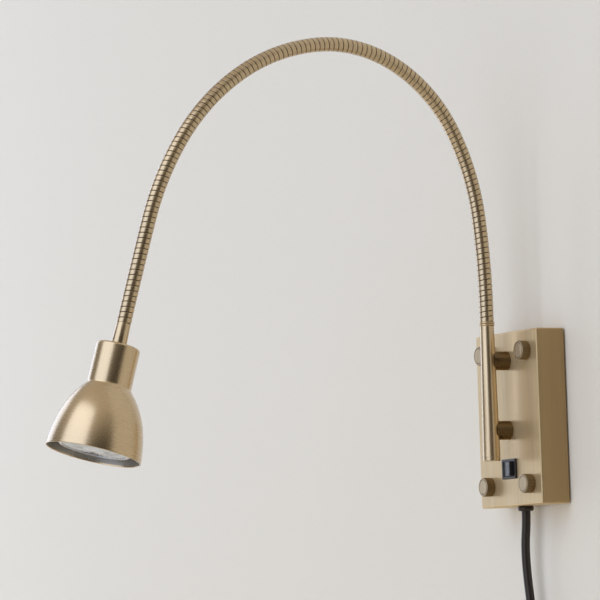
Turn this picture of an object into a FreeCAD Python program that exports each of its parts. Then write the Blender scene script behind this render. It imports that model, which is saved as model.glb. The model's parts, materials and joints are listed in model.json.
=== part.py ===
"""Bedside wall reading lamp: a wall box, a tapered tube on two standoffs, a flexible neck and a bell shade.

Every piece is a separate solid, written to parts/NAME.step in millimetres.
The origin is the centre of the mounting plate's back, on the wall. +Z is up, +X is right as seen from the
room, and -Y points out of the wall into the room. The tube, the neck and the shade lie in the plane X = 0.
"""

import FreeCAD, Part
import math
import os
from FreeCAD import Placement, Rotation, Vector

# ---- driving dimensions, millimetres and degrees -------------------------------------------------

# wall plate and what stands on it
plate_from_cover = 4.0
plate_thickness = 1.5
plate_corner = 3.0
wall_slot_spacing = 56.0
wall_slot_width = 4.6
wall_slot_length = 9.0
stud_from_side = 15.2
stud_from_end = 15.0
stud_radius = 2.0
spacer_radius = 3.5
spacer_bore_clearance = 0.2
earth_screw_x = 22.0
earth_screw_from_bottom = 42.5
earth_screw_length = 6.0
earth_head_radius = 3.5
earth_head_height = 2.0

# cover
cover_width = 88.0
cover_height = 125.0
cover_depth = 22.3
cover_wall = 1.2
cover_wall_gap = 1.2
cover_front_edge = 1.4
cover_side_edge = 1.5
stud_hole_clearance = 0.2

# thumb nuts
nut_radius = 6.8
nut_height = 6.8
nut_knurls = 38
nut_knurl_depth = 0.35
nut_chamfer = 0.6
nut_rim_groove_radius = 5.5
nut_rim_groove_width = 0.35
nut_rim_groove_depth = 0.25
nut_stud_engagement = 5.0
nut_thread_clearance = 0.05
nut_blind_depth = 5.3

# standoffs between cover and tube
standoff_radius = 6.8
standoff_upper_from_top = 20.5
standoff_lower_from_bottom = 54.5
standoff_past_axis = -2.0
nipple_radius = 4.0
nipple_bore = 2.8
nipple_in_standoff = 7.8
nipple_in_box = 5.3
hex_nut_flats = 13.0
hex_nut_height = 4.0
nipple_hole_clearance = 0.1

# tapered tube
tube_axis_from_wall = 38.5
tube_from_cover_bottom = 32.5
tube_above_cover = 7.5
tube_bottom_radius = 6.3
tube_top_radius = 5.1
tube_bore = 3.8
tube_spigot_radius = 4.6
cap_height = 2.6
cap_edge = 0.5
cap_plug_length = 5.0
cap_plug_clearance = 0.05
collar_height = 3.0
collar_radius = 5.6
collar_groove = 0.4

# flexible neck: a straight lead, eight arcs of equal length, a straight lead
neck_length = 541.6
neck_turns = [6.5, 21.0, 33.0, 36.5, 26.5, 22.5, 17.0, 1.0]
neck_straight = 10.4
neck_crest_radius = 5.15
neck_groove_radius = 4.65
neck_bore = 3.2
neck_rib_pitch = 3.8
rib_flank = 0.3
rib_groove = 0.3
lead_radius = 1.4
lead_bend = 4.0

# head, measured along the head's axis from the end of the neck
ferrule_length = 16.0
ferrule_top_radius = 5.0
ferrule_bottom_radius = 5.5
ferrule_edge = 0.3
ferrule_thread_from = 6.0
head_nipple_bore = 2.6
head_nipple_past_nut = 0.9
head_nut_height = 3.5
shade_wall = 1.0
shade_neck_radius = 15.5
shade_neck_length = 28.0
shade_neck_corner = 2.0
shade_root_fillet = 3.5
shade_shoulder_angle = 42.0
shade_waist_angle = 15.0
shade_mouth_angle = 3.0
shade_mouth_radius = 33.4
shade_length = 77.4
shade_hole_clearance = 0.1
bracket_thickness = 1.2
bracket_disc_radius = 11.5
bracket_leg_thickness = 1.0
bracket_leg_width = 8.0
bracket_leg_length = 17.0
holder_flats = 22.8
holder_radius = 12.5
holder_height = 17.5
holder_screw_radius = 1.5
holder_screw_head = 1.8
holder_screw_head_height = 0.7
holder_screw_depth = 4.0
holder_screw_from_top = 4.5
pin_circle = 10.0
pin_shank_radius = 1.5
pin_shank_length = 4.5
pin_head_radius = 2.5
pin_head_length = 3.0
pin_clearance = 0.3
pin_twist = 20.0
bulb_face_radius = 25.0
bulb_length = 46.5
bulb_recess = 3.0
bulb_base_radius = 12.0
bulb_base_height = 6.0
bulb_rim_height = 5.5
bulb_rim_edge = 1.0
bulb_shoulder_bulge = 2.2
bulb_to_holder = 0.3
lens_radius = 22.4
lens_seat_depth = 1.4
lens_edge_thickness = 1.0
lens_dome = 0.7
lens_pip_radius = 1.0
lens_clearance = 0.1

# rocker switch
switch_from_bottom = 26.7
bezel_width = 19.8
bezel_height = 14.5
bezel_thickness = 1.6
bezel_corner = 1.0
bezel_edge = 0.8
switch_body_width = 17.8
switch_body_height = 12.8
switch_body_depth = 10.5
switch_cutout_clearance = 0.2
rocker_well_width = 15.6
rocker_well_height = 10.8
rocker_well_depth = 6.6
rocker_gap = 0.3
rocker_throw = 10.0
rocker_pivot_depth = 0.9
rocker_face_offset = 2.8
rocker_skirt = 1.7
trunnion_radius = 1.0
trunnion_clearance = 0.05
trunnion_length = 0.85
trunnion_socket = 0.7
spade_thickness = 0.8
spade_width = 4.8
spade_length = 7.5
spade_spacing = 8.0

# terminal block
block_from_top = 41.5
block_width = 28.0
block_height = 14.0
block_base = 3.0
block_depth = 10.5
block_way = 8.0
block_pitch = 9.0
block_wire_hole = 1.5
block_wire_depth = 7.0
block_screw_radius = 1.5
block_screw_clearance = 0.1
block_screw_length = 3.0
block_screw_spacing = 6.0
block_screw_sunk = 0.3

# cord, grip and leads in the box
cord_diameter = 6.4
cord_from_wall = 11.75
grip_flange_radius = 5.75
grip_neck_radius = 4.6
grip_foot_radius = 4.9
grip_below_cover = 3.6
grip_inner_radius = 6.0
grip_inner_height = 3.0
grip_sleeve_root_radius = 5.2
grip_sleeve_tip_radius = 3.9
grip_sleeve_length = 12.4
grip_hole_clearance = 0.1
sheath_in_box = 16.8
wire_radius = 0.95
wire_exit = 1.5
wire_straight = 3.0

# cord outside: points of its free stretch, chosen by hand, as x, y and distance below the grip's foot, then
# a coil and the plug
drop_route = [
    (0.0, -11.75, 8.4),
    (-3.2, -11.6, 23.9),
    (-3.0, -11.2, 42.9),
    (-0.4, -10.6, 63.9),
    (1.8, -9.6, 83.9),
    (7.5, -8.55, 102.4),
    (21.0, -8.55, 115.9),
]
coil_entry_angle = 45.0
coil_turns = 7.125
coil_outer_radius = 50.2
coil_turn_pitch = 6.9
coil_layer_pitch = 6.9
coil_climb_turns = 0.5
coil_steps = 29
tie_width = 5.0
tie_thickness = 1.2
tie_clearance = 0.35
tail_length = 44.0

# mains plug, pins towards the room
plug_width = 49.0
plug_height = 45.0
plug_depth = 22.0
plug_corner = 7.0
plug_back_width = 41.0
plug_back_height = 39.0
plug_back_corner = 9.0
plug_line_pin_from_top = 11.0
plug_pin_spread = 22.2
plug_line_pin = (6.35, 4.0, 17.7)
plug_earth_pin = (4.0, 8.0, 22.7)
plug_pin_seat = 3.0
fuse_cover_size = (20.0, 8.0, 1.6)
fuse_cover_from_top = 21.5
fuse_cover_clearance = 0.15
sleeve_length = 24.0
sleeve_big_radius = 6.0
sleeve_small_radius = 4.3
sleeve_rings = 5
sleeve_ring_depth = 0.7
sleeve_ring_share = 0.6
sleeve_ring_slope = 0.1

# ---- measures and places that follow from the sizes -----------------------------------------------

quarter_turn = 90.0
tangent_share = 0.45

cover_front = cover_wall_gap + cover_depth
cover_inside = cover_front - cover_wall
cover_bottom = -cover_height / 2
cover_top = cover_height / 2
switch_z = cover_bottom + switch_from_bottom
block_z = cover_top - block_from_top
earth_screw_z = cover_bottom + earth_screw_from_bottom
standoff_upper_z = cover_top - standoff_upper_from_top
standoff_lower_z = cover_bottom + standoff_lower_from_bottom
tube_bottom_z = cover_bottom + tube_from_cover_bottom
tube_top_z = cover_top + tube_above_cover
plate_width = cover_width - 2 * plate_from_cover
plate_height = cover_height - 2 * plate_from_cover
stud_spacing_x = cover_width - 2 * stud_from_side
stud_spacing_z = cover_height - 2 * stud_from_end
spacer_length = cover_inside - plate_thickness
cord_radius = cord_diameter / 2
neck_start = Vector(0, -tube_axis_from_wall, tube_top_z)
neck_arc_length = (neck_length - 2 * neck_straight) / len(neck_turns)
switch_pivot = Vector(0, -(cover_front + bezel_thickness) + rocker_pivot_depth + bezel_thickness, switch_z)
rocker_reach = rocker_well_width / 2 - rocker_gap
bracket_from = ferrule_length + shade_wall
head_nut_from = bracket_from + bracket_thickness
bulb_face_at = ferrule_length + shade_length - bulb_recess
bulb_base_at = bulb_face_at - bulb_length
holder_face_at = bulb_base_at - bulb_to_holder
holder_top_at = holder_face_at - holder_height
grip_bottom = cover_bottom - grip_below_cover


# ---- helpers --------------------------------------------------------------------------------------


def rod(radius, start, end):
    """A round rod between two points."""
    axis = end - start
    return Part.makeCylinder(radius, axis.Length, start, axis)


def box_between(low, high):
    """A box from its lowest to its highest corner."""
    size = high - low
    return Part.makeBox(size.x, size.y, size.z, low)


def edges_along(shape, direction):
    """The straight edges of a shape that run along a direction."""
    found = []
    for edge in shape.Edges:
        if isinstance(edge.Curve, Part.Line) and abs(edge.Curve.Direction.dot(direction)) > 0.999:
            found.append(edge)
    return found


def rounded_outline(width, height, corner, y, centre_x, centre_z):
    """A rounded rectangle as a wire in a plane of constant Y."""
    half_w = width / 2 - corner
    half_h = height / 2 - corner
    edges = []
    corners = [(half_w, half_h), (-half_w, half_h), (-half_w, -half_h), (half_w, -half_h)]
    ends = []
    for index, (dx, dz) in enumerate(corners):
        points = []
        for turn in (0, 0.5, 1):
            angle = math.radians(quarter_turn * (index + turn))
            x = centre_x + dx + corner * math.cos(angle)
            z = centre_z + dz + corner * math.sin(angle)
            points.append(Vector(x, y, z))
        edges.append(Part.Arc(*points).toShape())
        ends.append((points[0], points[2]))
    for this, following in zip(ends, ends[1:] + ends[:1]):
        edges.append(Part.LineSegment(this[1], following[0]).toShape())
    return Part.Wire(Part.__sortEdges__(edges))


def turned(profile, start, axis):
    """A solid of revolution: (radius, distance along the axis) points joined by straight lines."""
    points = [Vector(radius, 0, along) for radius, along in profile]
    points.append(points[0])
    solid = Part.Face(Part.makePolygon(points)).revolve(Vector(), Vector(0, 0, 1), 360)
    solid.Placement = Placement(start, Rotation(Vector(0, 0, 1), axis))
    return solid


def hexagon(flats, height, start, axis):
    """A hexagon prism by its width across flats."""
    corner = flats / 2 / math.cos(math.pi / 6)
    points = []
    for index in range(6 + 1):
        angle = math.pi / 3 * index
        points.append(Vector(corner * math.cos(angle), corner * math.sin(angle), 0))
    prism = Part.Face(Part.makePolygon(points)).extrude(Vector(0, 0, height))
    prism.Placement = Placement(start, Rotation(Vector(0, 0, 1), axis))
    return prism


def rounded_path(points, largest_bend=None):
    """Straight runs joined by tangent arcs; returns the edges and the arcs' radii."""
    radii = []
    edges = []
    here = points[0]
    for before, corner, after in zip(points, points[1:], points[2:]):
        into = corner - before
        out = after - corner
        half_turn = into.getAngle(out) / 2
        radius = tangent_share * min(into.Length, out.Length) / math.tan(half_turn)
        if largest_bend:
            radius = min(radius, largest_bend)
        setback = radius * math.tan(half_turn)
        into.normalize()
        out.normalize()
        start = corner - into * setback
        end = corner + out * setback
        inward = out - into
        inward.normalize()
        middle = corner + inward * (radius / math.cos(half_turn) - radius)
        edges.append(Part.LineSegment(here, start).toShape())
        edges.append(Part.Arc(start, middle, end).toShape())
        here = end
        radii.append(radius)
    edges.append(Part.LineSegment(here, points[-1]).toShape())
    return edges, radii


def tube_on(edges, radius):
    """A round tube carried along tangent edges."""
    path = Part.Wire(edges)
    start = edges[0].valueAt(edges[0].FirstParameter)
    ahead = edges[0].tangentAt(edges[0].FirstParameter)
    section = Part.Wire([Part.Circle(start, ahead, radius).toShape()])
    return path.makePipeShell([section], True, False)


def report_tube(name, solid, edges, radius):
    """Print how a tube's volume compares with its section times its length."""
    length = sum(edge.Length for edge in edges)
    share = solid.Volume / (math.pi * radius**2 * length)
    print(f"{name}: length {length:.1f}, volume over section x length {share:.5f}")
    return length


# ---- wall plate, studs, cover ---------------------------------------------------------------------


def stud_places():
    """Where the four studs stand, by name."""
    places = {}
    for row, z in (("top", stud_spacing_z / 2), ("bottom", -stud_spacing_z / 2)):
        for side, x in (("left", -stud_spacing_x / 2), ("right", stud_spacing_x / 2)):
            places[f"{row}_{side}"] = (x, z)
    return places


def mounting_plate():
    """Flat steel plate with two slots for wall screws and a hole for each stud and for the earth screw."""
    half = Vector(plate_width / 2, 0, plate_height / 2)
    plate = box_between(Vector(-half.x, -plate_thickness, -half.z), Vector(half.x, 0, half.z))
    plate = plate.makeFillet(plate_corner, edges_along(plate, Vector(0, 1, 0)))
    through = Vector(0, -plate_thickness, 0)
    for side in (-1, 1):
        centre = side * wall_slot_spacing / 2
        straight = (wall_slot_length - wall_slot_width) / 2
        half_width = wall_slot_width / 2
        slot = box_between(
            Vector(centre - straight, -plate_thickness, -half_width), Vector(centre + straight, 0, half_width)
        )
        for end in (-straight, straight):
            at = Vector(centre + end, 0, 0)
            slot = slot.fuse(rod(half_width, at, at + through))
        plate = plate.cut(slot)
    for x, z in list(stud_places().values()) + [(earth_screw_x, earth_screw_z)]:
        at = Vector(x, 0, z)
        plate = plate.cut(rod(stud_radius, at, at + through))
    return plate


def plate_studs():
    """Four studs, flush with the plate's back, with chamfered tips inside the thumb nuts."""
    studs = []
    length = cover_front + nut_stud_engagement
    chamfer = stud_radius / 4
    profile = [(0, 0), (stud_radius, 0), (stud_radius, length - chamfer)]
    profile += [(stud_radius - chamfer, length), (0, length)]
    for x, z in stud_places().values():
        studs.append(turned(profile, Vector(x, 0, z), Vector(0, -1, 0)))
    return Part.makeCompound(studs)


def stud_spacers():
    """Four sleeves that keep the cover's front at its distance from the plate."""
    sleeves = []
    for x, z in stud_places().values():
        start = Vector(x, -plate_thickness, z)
        end = Vector(x, -plate_thickness - spacer_length, z)
        bore = rod(stud_radius + spacer_bore_clearance, start, end)
        sleeves.append(rod(spacer_radius, start, end).cut(bore))
    return Part.makeCompound(sleeves)


def earth_screw():
    """Screw in the plate with a flat head that clamps the earth lead."""
    start = Vector(earth_screw_x, 0, earth_screw_z)
    head_from = earth_screw_length - earth_head_height
    head_at = start + Vector(0, -head_from, 0)
    end = start + Vector(0, -earth_screw_length, 0)
    return rod(stud_radius, start, end).fuse(rod(earth_head_radius, head_at, end)).removeSplitter()


def cover_box():
    """Folded cover: a front and four sides, open to the wall, with rounded folds."""
    half_w = cover_width / 2
    half_h = cover_height / 2
    outer = box_between(Vector(-half_w, -cover_front, -half_h), Vector(half_w, -cover_wall_gap, half_h))
    outer = outer.makeFillet(cover_side_edge, edges_along(outer, Vector(0, 1, 0)))
    front = [edge for edge in outer.Edges if abs(edge.BoundBox.YMax + cover_front) < 1e-6]
    outer = outer.makeFillet(cover_front_edge, front)
    inside_w = half_w - cover_wall
    inside_h = half_h - cover_wall
    hollow = box_between(Vector(-inside_w, -cover_inside, -inside_h), Vector(inside_w, 0, inside_h))
    cover = outer.cut(hollow)
    into = Vector(0, -cover_front, 0)
    for x, z in stud_places().values():
        at = Vector(x, 0, z)
        cover = cover.cut(rod(stud_radius + stud_hole_clearance, at, at + into))
    for z in (standoff_upper_z, standoff_lower_z):
        at = Vector(0, 0, z)
        cover = cover.cut(rod(nipple_radius + nipple_hole_clearance, at, at + into))
    cut_w = switch_body_width / 2 + switch_cutout_clearance
    cut_h = switch_body_height / 2 + switch_cutout_clearance
    low = Vector(-cut_w, -cover_front, switch_z - cut_h)
    high = Vector(cut_w, -cover_inside, switch_z + cut_h)
    cover = cover.cut(box_between(low, high))
    cord_hole = rod(
        grip_neck_radius + grip_hole_clearance,
        Vector(0, -cord_from_wall, cover_bottom),
        Vector(0, -cord_from_wall, cover_bottom + cover_wall),
    )
    return cover.cut(cord_hole)


def thumb_nut(x, z):
    """Blind nut with a straight knurl, chamfered ends and a fine ring turned in its face."""
    points = []
    for index in range(2 * nut_knurls + 1):
        angle = math.pi * index / nut_knurls
        radius = nut_radius - (index % 2) * nut_knurl_depth
        points.append(Vector(radius * math.cos(angle), radius * math.sin(angle), 0))
    knurled = Part.Face(Part.makePolygon(points)).extrude(Vector(0, 0, nut_height))
    inner = nut_radius - nut_chamfer
    cone = [(0, 0), (inner, 0), (nut_radius, nut_chamfer), (nut_radius, nut_height - nut_chamfer)]
    cone += [(inner, nut_height), (0, nut_height)]
    nut = knurled.common(turned(cone, Vector(), Vector(0, 0, 1)))
    bore = rod(stud_radius + nut_thread_clearance, Vector(), Vector(0, 0, nut_blind_depth))
    ring_low = nut_height - nut_rim_groove_depth
    ring_out = nut_rim_groove_radius + nut_rim_groove_width
    ring = [(nut_rim_groove_radius, ring_low), (ring_out, ring_low)]
    ring += [(ring_out, nut_height), (nut_rim_groove_radius, nut_height)]
    nut = nut.cut(bore).cut(turned(ring, Vector(), Vector(0, 0, 1)))
    nut.Placement = Placement(Vector(x, -cover_front, z), Rotation(Vector(0, 0, 1), Vector(0, -1, 0)))
    return nut


# ---- standoffs and tube ---------------------------------------------------------------------------


def tube_outside():
    """The tube's tapered outside, closed, from its cap to the spigot that carries the collar."""
    taper_from = tube_bottom_z + cap_height
    taper_to = tube_top_z - collar_height
    profile = [(0, taper_from), (tube_bottom_radius, taper_from), (tube_top_radius, taper_to)]
    profile += [(tube_spigot_radius, taper_to), (tube_spigot_radius, tube_top_z), (0, tube_top_z)]
    return turned(profile, Vector(0, -tube_axis_from_wall, 0), Vector(0, 0, 1))


def arm_tube():
    """Tapered tube with a straight bore and a side hole behind each standoff."""
    axis_low = Vector(0, -tube_axis_from_wall, tube_bottom_z)
    axis_high = Vector(0, -tube_axis_from_wall, tube_top_z)
    tube = tube_outside().cut(rod(tube_bore, axis_low, axis_high))
    for z in (standoff_upper_z, standoff_lower_z):
        tube = tube.cut(rod(nipple_bore, Vector(0, -cover_front, z), Vector(0, -tube_axis_from_wall, z)))
    return tube


def tube_end_cap():
    """Disc that closes the tube's lower end, with a plug in the bore."""
    plug = tube_bore - cap_plug_clearance
    rim = tube_bottom_radius
    profile = [(0, 0), (rim - cap_edge, 0), (rim, cap_edge), (rim, cap_height), (plug, cap_height)]
    profile += [(plug, cap_height + cap_plug_length), (0, cap_height + cap_plug_length)]
    return turned(profile, Vector(0, -tube_axis_from_wall, tube_bottom_z), Vector(0, 0, 1))


def neck_collar():
    """Two thin beads on the tube's spigot, with a groove between them."""
    low = tube_top_z - collar_height
    middle = low + collar_height / 2
    edge = collar_groove / 2
    profile = [(tube_spigot_radius, low), (collar_radius - edge, low), (collar_radius, low + edge)]
    profile += [(collar_radius, middle - edge), (collar_radius - collar_groove, middle)]
    profile += [(collar_radius, middle + edge), (collar_radius, tube_top_z - edge)]
    profile += [(collar_radius - edge, tube_top_z), (tube_spigot_radius, tube_top_z)]
    return turned(profile, Vector(0, -tube_axis_from_wall, 0), Vector(0, 0, 1))


def standoff(z):
    """Round standoff on the cover, saddled to the tube, threaded for its nipple and drilled for the lead."""
    base = Vector(0, -cover_front, z)
    end = Vector(0, -(tube_axis_from_wall + standoff_past_axis), z)
    body = rod(standoff_radius, base, end).cut(tube_outside())
    body = body.cut(rod(nipple_bore, base, end))
    thread_end = base + Vector(0, -nipple_in_standoff, 0)
    return body.cut(rod(nipple_radius, base, thread_end))


def standoff_nipples():
    """Hollow threaded nipples from each standoff through the cover's front."""
    nipples = []
    for z in (standoff_upper_z, standoff_lower_z):
        start = Vector(0, -cover_front - nipple_in_standoff, z)
        end = Vector(0, -cover_inside + nipple_in_box, z)
        nipples.append(rod(nipple_radius, start, end).cut(rod(nipple_bore, start, end)))
    return Part.makeCompound(nipples)


def standoff_nuts():
    """Hexagon nuts that draw the standoffs to the cover from inside."""
    nuts = []
    for z in (standoff_upper_z, standoff_lower_z):
        start = Vector(0, -cover_inside, z)
        nut = hexagon(hex_nut_flats, hex_nut_height, start, Vector(0, 1, 0))
        nuts.append(nut.cut(rod(nipple_radius, start, start + Vector(0, hex_nut_height, 0))))
    return Part.makeCompound(nuts)


# ---- flexible neck --------------------------------------------------------------------------------


class NeckLine:
    """The neck's centre line in the plane X = 0, by distance from the tube: straight, arcs, straight."""

    def __init__(self):
        self.pieces = []
        self.length = 0.0
        self.spot = neck_start
        self.heading = 0.0
        self.add(neck_straight, 0.0)
        for turn in neck_turns:
            self.add(neck_arc_length, math.radians(turn))
        self.add(neck_straight, 0.0)

    def add(self, length, turn):
        self.pieces.append((self.length, length, turn, self.spot, self.heading))
        self.spot, self.heading = self.along(self.pieces[-1], length)
        self.length += length

    @staticmethod
    def along(piece, distance):
        """The point and heading at a distance into one piece; heading turns from +Z towards -Y."""
        _, length, turn, start, heading = piece
        ahead = Vector(0, -math.sin(heading), math.cos(heading))
        side = Vector(0, -math.cos(heading), -math.sin(heading))
        if turn == 0:
            return start + ahead * distance, heading
        radius = length / turn
        angle = distance / radius
        spot = start + ahead * (radius * math.sin(angle)) + side * (radius * (1 - math.cos(angle)))
        return spot, heading + angle

    def at(self, distance):
        """The point and heading at a distance from the tube."""
        for piece in self.pieces:
            if distance <= piece[0] + piece[1] + 1e-9:
                return self.along(piece, distance - piece[0])
        return self.spot, self.heading

    def placement(self, distance):
        """A frame whose Z runs along the neck and whose X stays steady."""
        spot, heading = self.at(distance)
        return Placement(spot, Rotation(Vector(1, 0, 0), math.degrees(heading)))

    def bounds(self):
        """Where the eight lengths of neck begin and end."""
        count = len(neck_turns)
        inner = [neck_straight + neck_arc_length * index for index in range(1, count)]
        return [0.0] + inner + [self.length]

    def edges(self, start, end):
        """Lines and arcs of the centre line between two distances."""
        found = []
        for from_here, length, turn, _, _ in self.pieces:
            low = max(start, from_here)
            high = min(end, from_here + length)
            if high - low < 1e-6:
                continue
            first = self.at(low + 1e-9)[0] if low > from_here else self.at_piece_start(from_here)
            last = self.at(high)[0]
            if turn == 0:
                found.append(Part.LineSegment(first, last).toShape())
            else:
                found.append(Part.Arc(first, self.at((low + high) / 2)[0], last).toShape())
        return found

    def at_piece_start(self, distance):
        """The exact point where a piece begins."""
        for piece in self.pieces:
            if abs(piece[0] - distance) < 1e-6:
                return piece[3]
        return self.at(distance)[0]


neck = NeckLine()


def neck_section(start, end):
    """One length of the wound hose: crests with narrow grooves, four rings a turn, and the bore."""
    ribs = round((end - start) / neck_rib_pitch)
    pitch = (end - start) / ribs
    rings = []
    for index in range(ribs):
        from_here = start + index * pitch
        rings.append((from_here, neck_groove_radius))
        rings.append((from_here + rib_flank, neck_crest_radius))
        rings.append((from_here + pitch - rib_groove - rib_flank, neck_crest_radius))
        rings.append((from_here + pitch - rib_groove, neck_groove_radius))
    rings.append((end, neck_groove_radius))
    wires = []
    for distance, radius in rings:
        circle = Part.makeCircle(radius)
        circle.Placement = neck.placement(distance)
        wires.append(Part.Wire([circle]))
    hose = Part.makeLoft(wires, True, True)
    return hose.cut(tube_on(neck.edges(start, end), neck_bore))


def lead_section(start, end, reach=0.0):
    """The lead inside one length of the neck, the last one going on straight into the head."""
    edges = neck.edges(start, end)
    if reach:
        frame = neck.placement(end)
        tip = frame.multVec(Vector(0, 0, reach))
        last = edges.pop()
        edges.append(Part.LineSegment(last.valueAt(last.FirstParameter), tip).toShape())
    return tube_on(edges, lead_radius)


# ---- head, built along +Z from the neck's end and then turned with the neck -------------------------

head_frame = neck.placement(neck.length)


def in_head(shape):
    """Put a piece built along the head's axis in its place."""
    shape.Placement = head_frame.multiply(shape.Placement)
    return shape


def head_turned(profile):
    """A solid of revolution about the head's axis."""
    return turned(profile, Vector(), Vector(0, 0, 1))


def along_head(distance):
    """A point on the head's axis, in the head's frame."""
    return Vector(0, 0, distance)


def head_ferrule():
    """Tapered ferrule: the lead's bore, then the thread of the nipple."""
    slope = (ferrule_bottom_radius - ferrule_top_radius) / ferrule_length
    profile = [(head_nipple_bore, 0), (ferrule_top_radius - ferrule_edge, 0)]
    profile += [(ferrule_top_radius + slope * ferrule_edge, ferrule_edge)]
    profile += [(ferrule_bottom_radius - slope * ferrule_edge, ferrule_length - ferrule_edge)]
    profile += [(ferrule_bottom_radius - ferrule_edge, ferrule_length), (nipple_radius, ferrule_length)]
    profile += [(nipple_radius, ferrule_thread_from), (head_nipple_bore, ferrule_thread_from)]
    return in_head(head_turned(profile))


def head_nipple():
    """Hollow threaded nipple from the ferrule through shade, bracket and nut."""
    start = along_head(ferrule_thread_from)
    end = along_head(head_nut_from + head_nut_height + head_nipple_past_nut)
    return in_head(rod(nipple_radius, start, end).cut(rod(head_nipple_bore, start, end)))


def head_nut():
    """Hexagon nut that clamps shade and bracket to the ferrule."""
    start = along_head(head_nut_from)
    nut = hexagon(hex_nut_flats, head_nut_height, start, Vector(0, 0, 1))
    return in_head(nut.cut(rod(nipple_radius, start, start + along_head(head_nut_height))))


def arc_between(centre, radius, first_heading, last_heading, bulge):
    """An arc of the shade's outline: headings are angles from the axis, bulge is 1 outwards, -1 inwards."""
    points = []
    for heading in (first_heading, (first_heading + last_heading) / 2, last_heading):
        angle = math.radians(heading)
        x = centre.x + bulge * radius * math.cos(angle)
        z = centre.z - bulge * radius * math.sin(angle)
        points.append(Vector(x, 0, z))
    return Part.Arc(*points).toShape(), points[0], points[2]


def shade_arcs():
    """Centres and radii of the bell's arcs: root fillet, shoulder and skirt, which share their tangents.

    The shoulder's and the skirt's radii are the two that bring the outline to the mouth's radius and length.
    """
    shoulder = math.radians(shade_shoulder_angle)
    waist = math.radians(shade_waist_angle)
    mouth = math.radians(shade_mouth_angle)
    root_at = ferrule_length + shade_neck_length
    root = Vector(shade_neck_radius + shade_root_fillet, 0, root_at)
    begin_x = root.x - shade_root_fillet * math.cos(shoulder)
    begin_z = root.z + shade_root_fillet * math.sin(shoulder)
    rise = ferrule_length + shade_length - begin_z
    spread = shade_mouth_radius - begin_x
    a, b = math.sin(shoulder) - math.sin(waist), math.sin(waist) - math.sin(mouth)
    c, d = math.cos(waist) - math.cos(shoulder), math.cos(mouth) - math.cos(waist)
    shoulder_radius = (rise * d - b * spread) / (a * d - b * c)
    skirt_radius = (a * spread - c * rise) / (a * d - b * c)
    shoulder_centre = Vector(
        begin_x - shoulder_radius * math.cos(shoulder), 0, begin_z + shoulder_radius * math.sin(shoulder)
    )
    shift = shoulder_radius - skirt_radius
    skirt_centre = shoulder_centre + Vector(shift * math.cos(waist), 0, -shift * math.sin(waist))
    return root, shoulder_centre, shoulder_radius, skirt_centre, skirt_radius


def shade_side(inset):
    """Edges of the bell from its neck to its mouth, set in from the outside by a distance."""
    root, shoulder_centre, shoulder_radius, skirt_centre, skirt_radius = shade_arcs()
    parts = [
        arc_between(root, shade_root_fillet + inset, 0, shade_shoulder_angle, -1),
        arc_between(shoulder_centre, shoulder_radius - inset, shade_shoulder_angle, shade_waist_angle, 1),
        arc_between(skirt_centre, skirt_radius - inset, shade_waist_angle, shade_mouth_angle, 1),
    ]
    edges = [edge for edge, _, _ in parts]
    return edges, parts[0][1], parts[-1][2]


def top_corner(radius, at, inset):
    """The rounded corner where the shade's neck meets its top, as an edge and its two ends."""
    corner = shade_neck_corner - inset
    points = []
    for angle in (90, 45, 0):
        x = radius - shade_neck_corner + corner * math.cos(math.radians(angle))
        z = at + shade_neck_corner - corner * math.sin(math.radians(angle))
        points.append(Vector(x, 0, z))
    return Part.Arc(*points).toShape(), points[0], points[2]


def shade():
    """Spun shade: flat top with a hole, cylindrical neck and bell, one thin wall throughout."""
    hole = nipple_radius + shade_hole_clearance
    top = ferrule_length
    outer, outer_root, outer_mouth = shade_side(0)
    inner, inner_root, inner_mouth = shade_side(shade_wall)
    corner_out, out_top, out_side = top_corner(shade_neck_radius, top, 0)
    corner_in, in_top, in_side = top_corner(shade_neck_radius, top, shade_wall)
    hole_out = Vector(hole, 0, top)
    hole_in = Vector(hole, 0, top + shade_wall)
    lines = [
        (hole_out, out_top),
        (out_side, outer_root),
        (outer_mouth, inner_mouth),
        (inner_root, in_side),
        (in_top, hole_in),
        (hole_in, hole_out),
    ]
    edges = outer + inner + [corner_out, corner_in]
    edges += [Part.LineSegment(first, last).toShape() for first, last in lines]
    wire = Part.Wire(Part.__sortEdges__(edges))
    return in_head(Part.Face(wire).revolve(Vector(), Vector(0, 0, 1), 360))


def holder_bracket():
    """Pressed bracket under the nut with two legs that carry the lampholder."""
    top = along_head(bracket_from)
    disc = rod(bracket_disc_radius, top, along_head(head_nut_from))
    outside = holder_flats / 2 + bracket_leg_thickness
    half = bracket_leg_width / 2
    strap = box_between(Vector(-outside, -half, bracket_from), Vector(outside, half, head_nut_from))
    bracket = disc.fuse(strap)
    for side in (-1, 1):
        near, far = sorted((side * holder_flats / 2, side * outside))
        leg_end = Vector(far, half, bracket_from + bracket_leg_length)
        bracket = bracket.fuse(box_between(Vector(near, -half, bracket_from), leg_end))
    bracket = bracket.cut(rod(nipple_radius + shade_hole_clearance, top, along_head(head_nut_from)))
    screw_at = along_head(holder_top_at + holder_screw_from_top)
    across = Vector(outside, 0, 0)
    bracket = bracket.cut(rod(holder_screw_radius, screw_at - across, screw_at + across))
    return in_head(bracket.removeSplitter())


def pin_sweep(radius, low, high):
    """The room that one pin sweeps as the bulb turns: a ring sector with round ends."""
    swept = pin_circle / 2
    height = high - low
    outer = Part.makeCylinder(swept + radius, height, Vector(0, 0, low), Vector(0, 0, 1), pin_twist)
    sector = outer.cut(Part.makeCylinder(swept - radius, height, Vector(0, 0, low)))
    for angle in (0, pin_twist):
        turn = math.radians(angle)
        at = Vector(swept * math.cos(turn), swept * math.sin(turn), low)
        sector = sector.fuse(rod(radius, at, at + Vector(0, 0, height)))
    return sector.removeSplitter()


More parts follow.
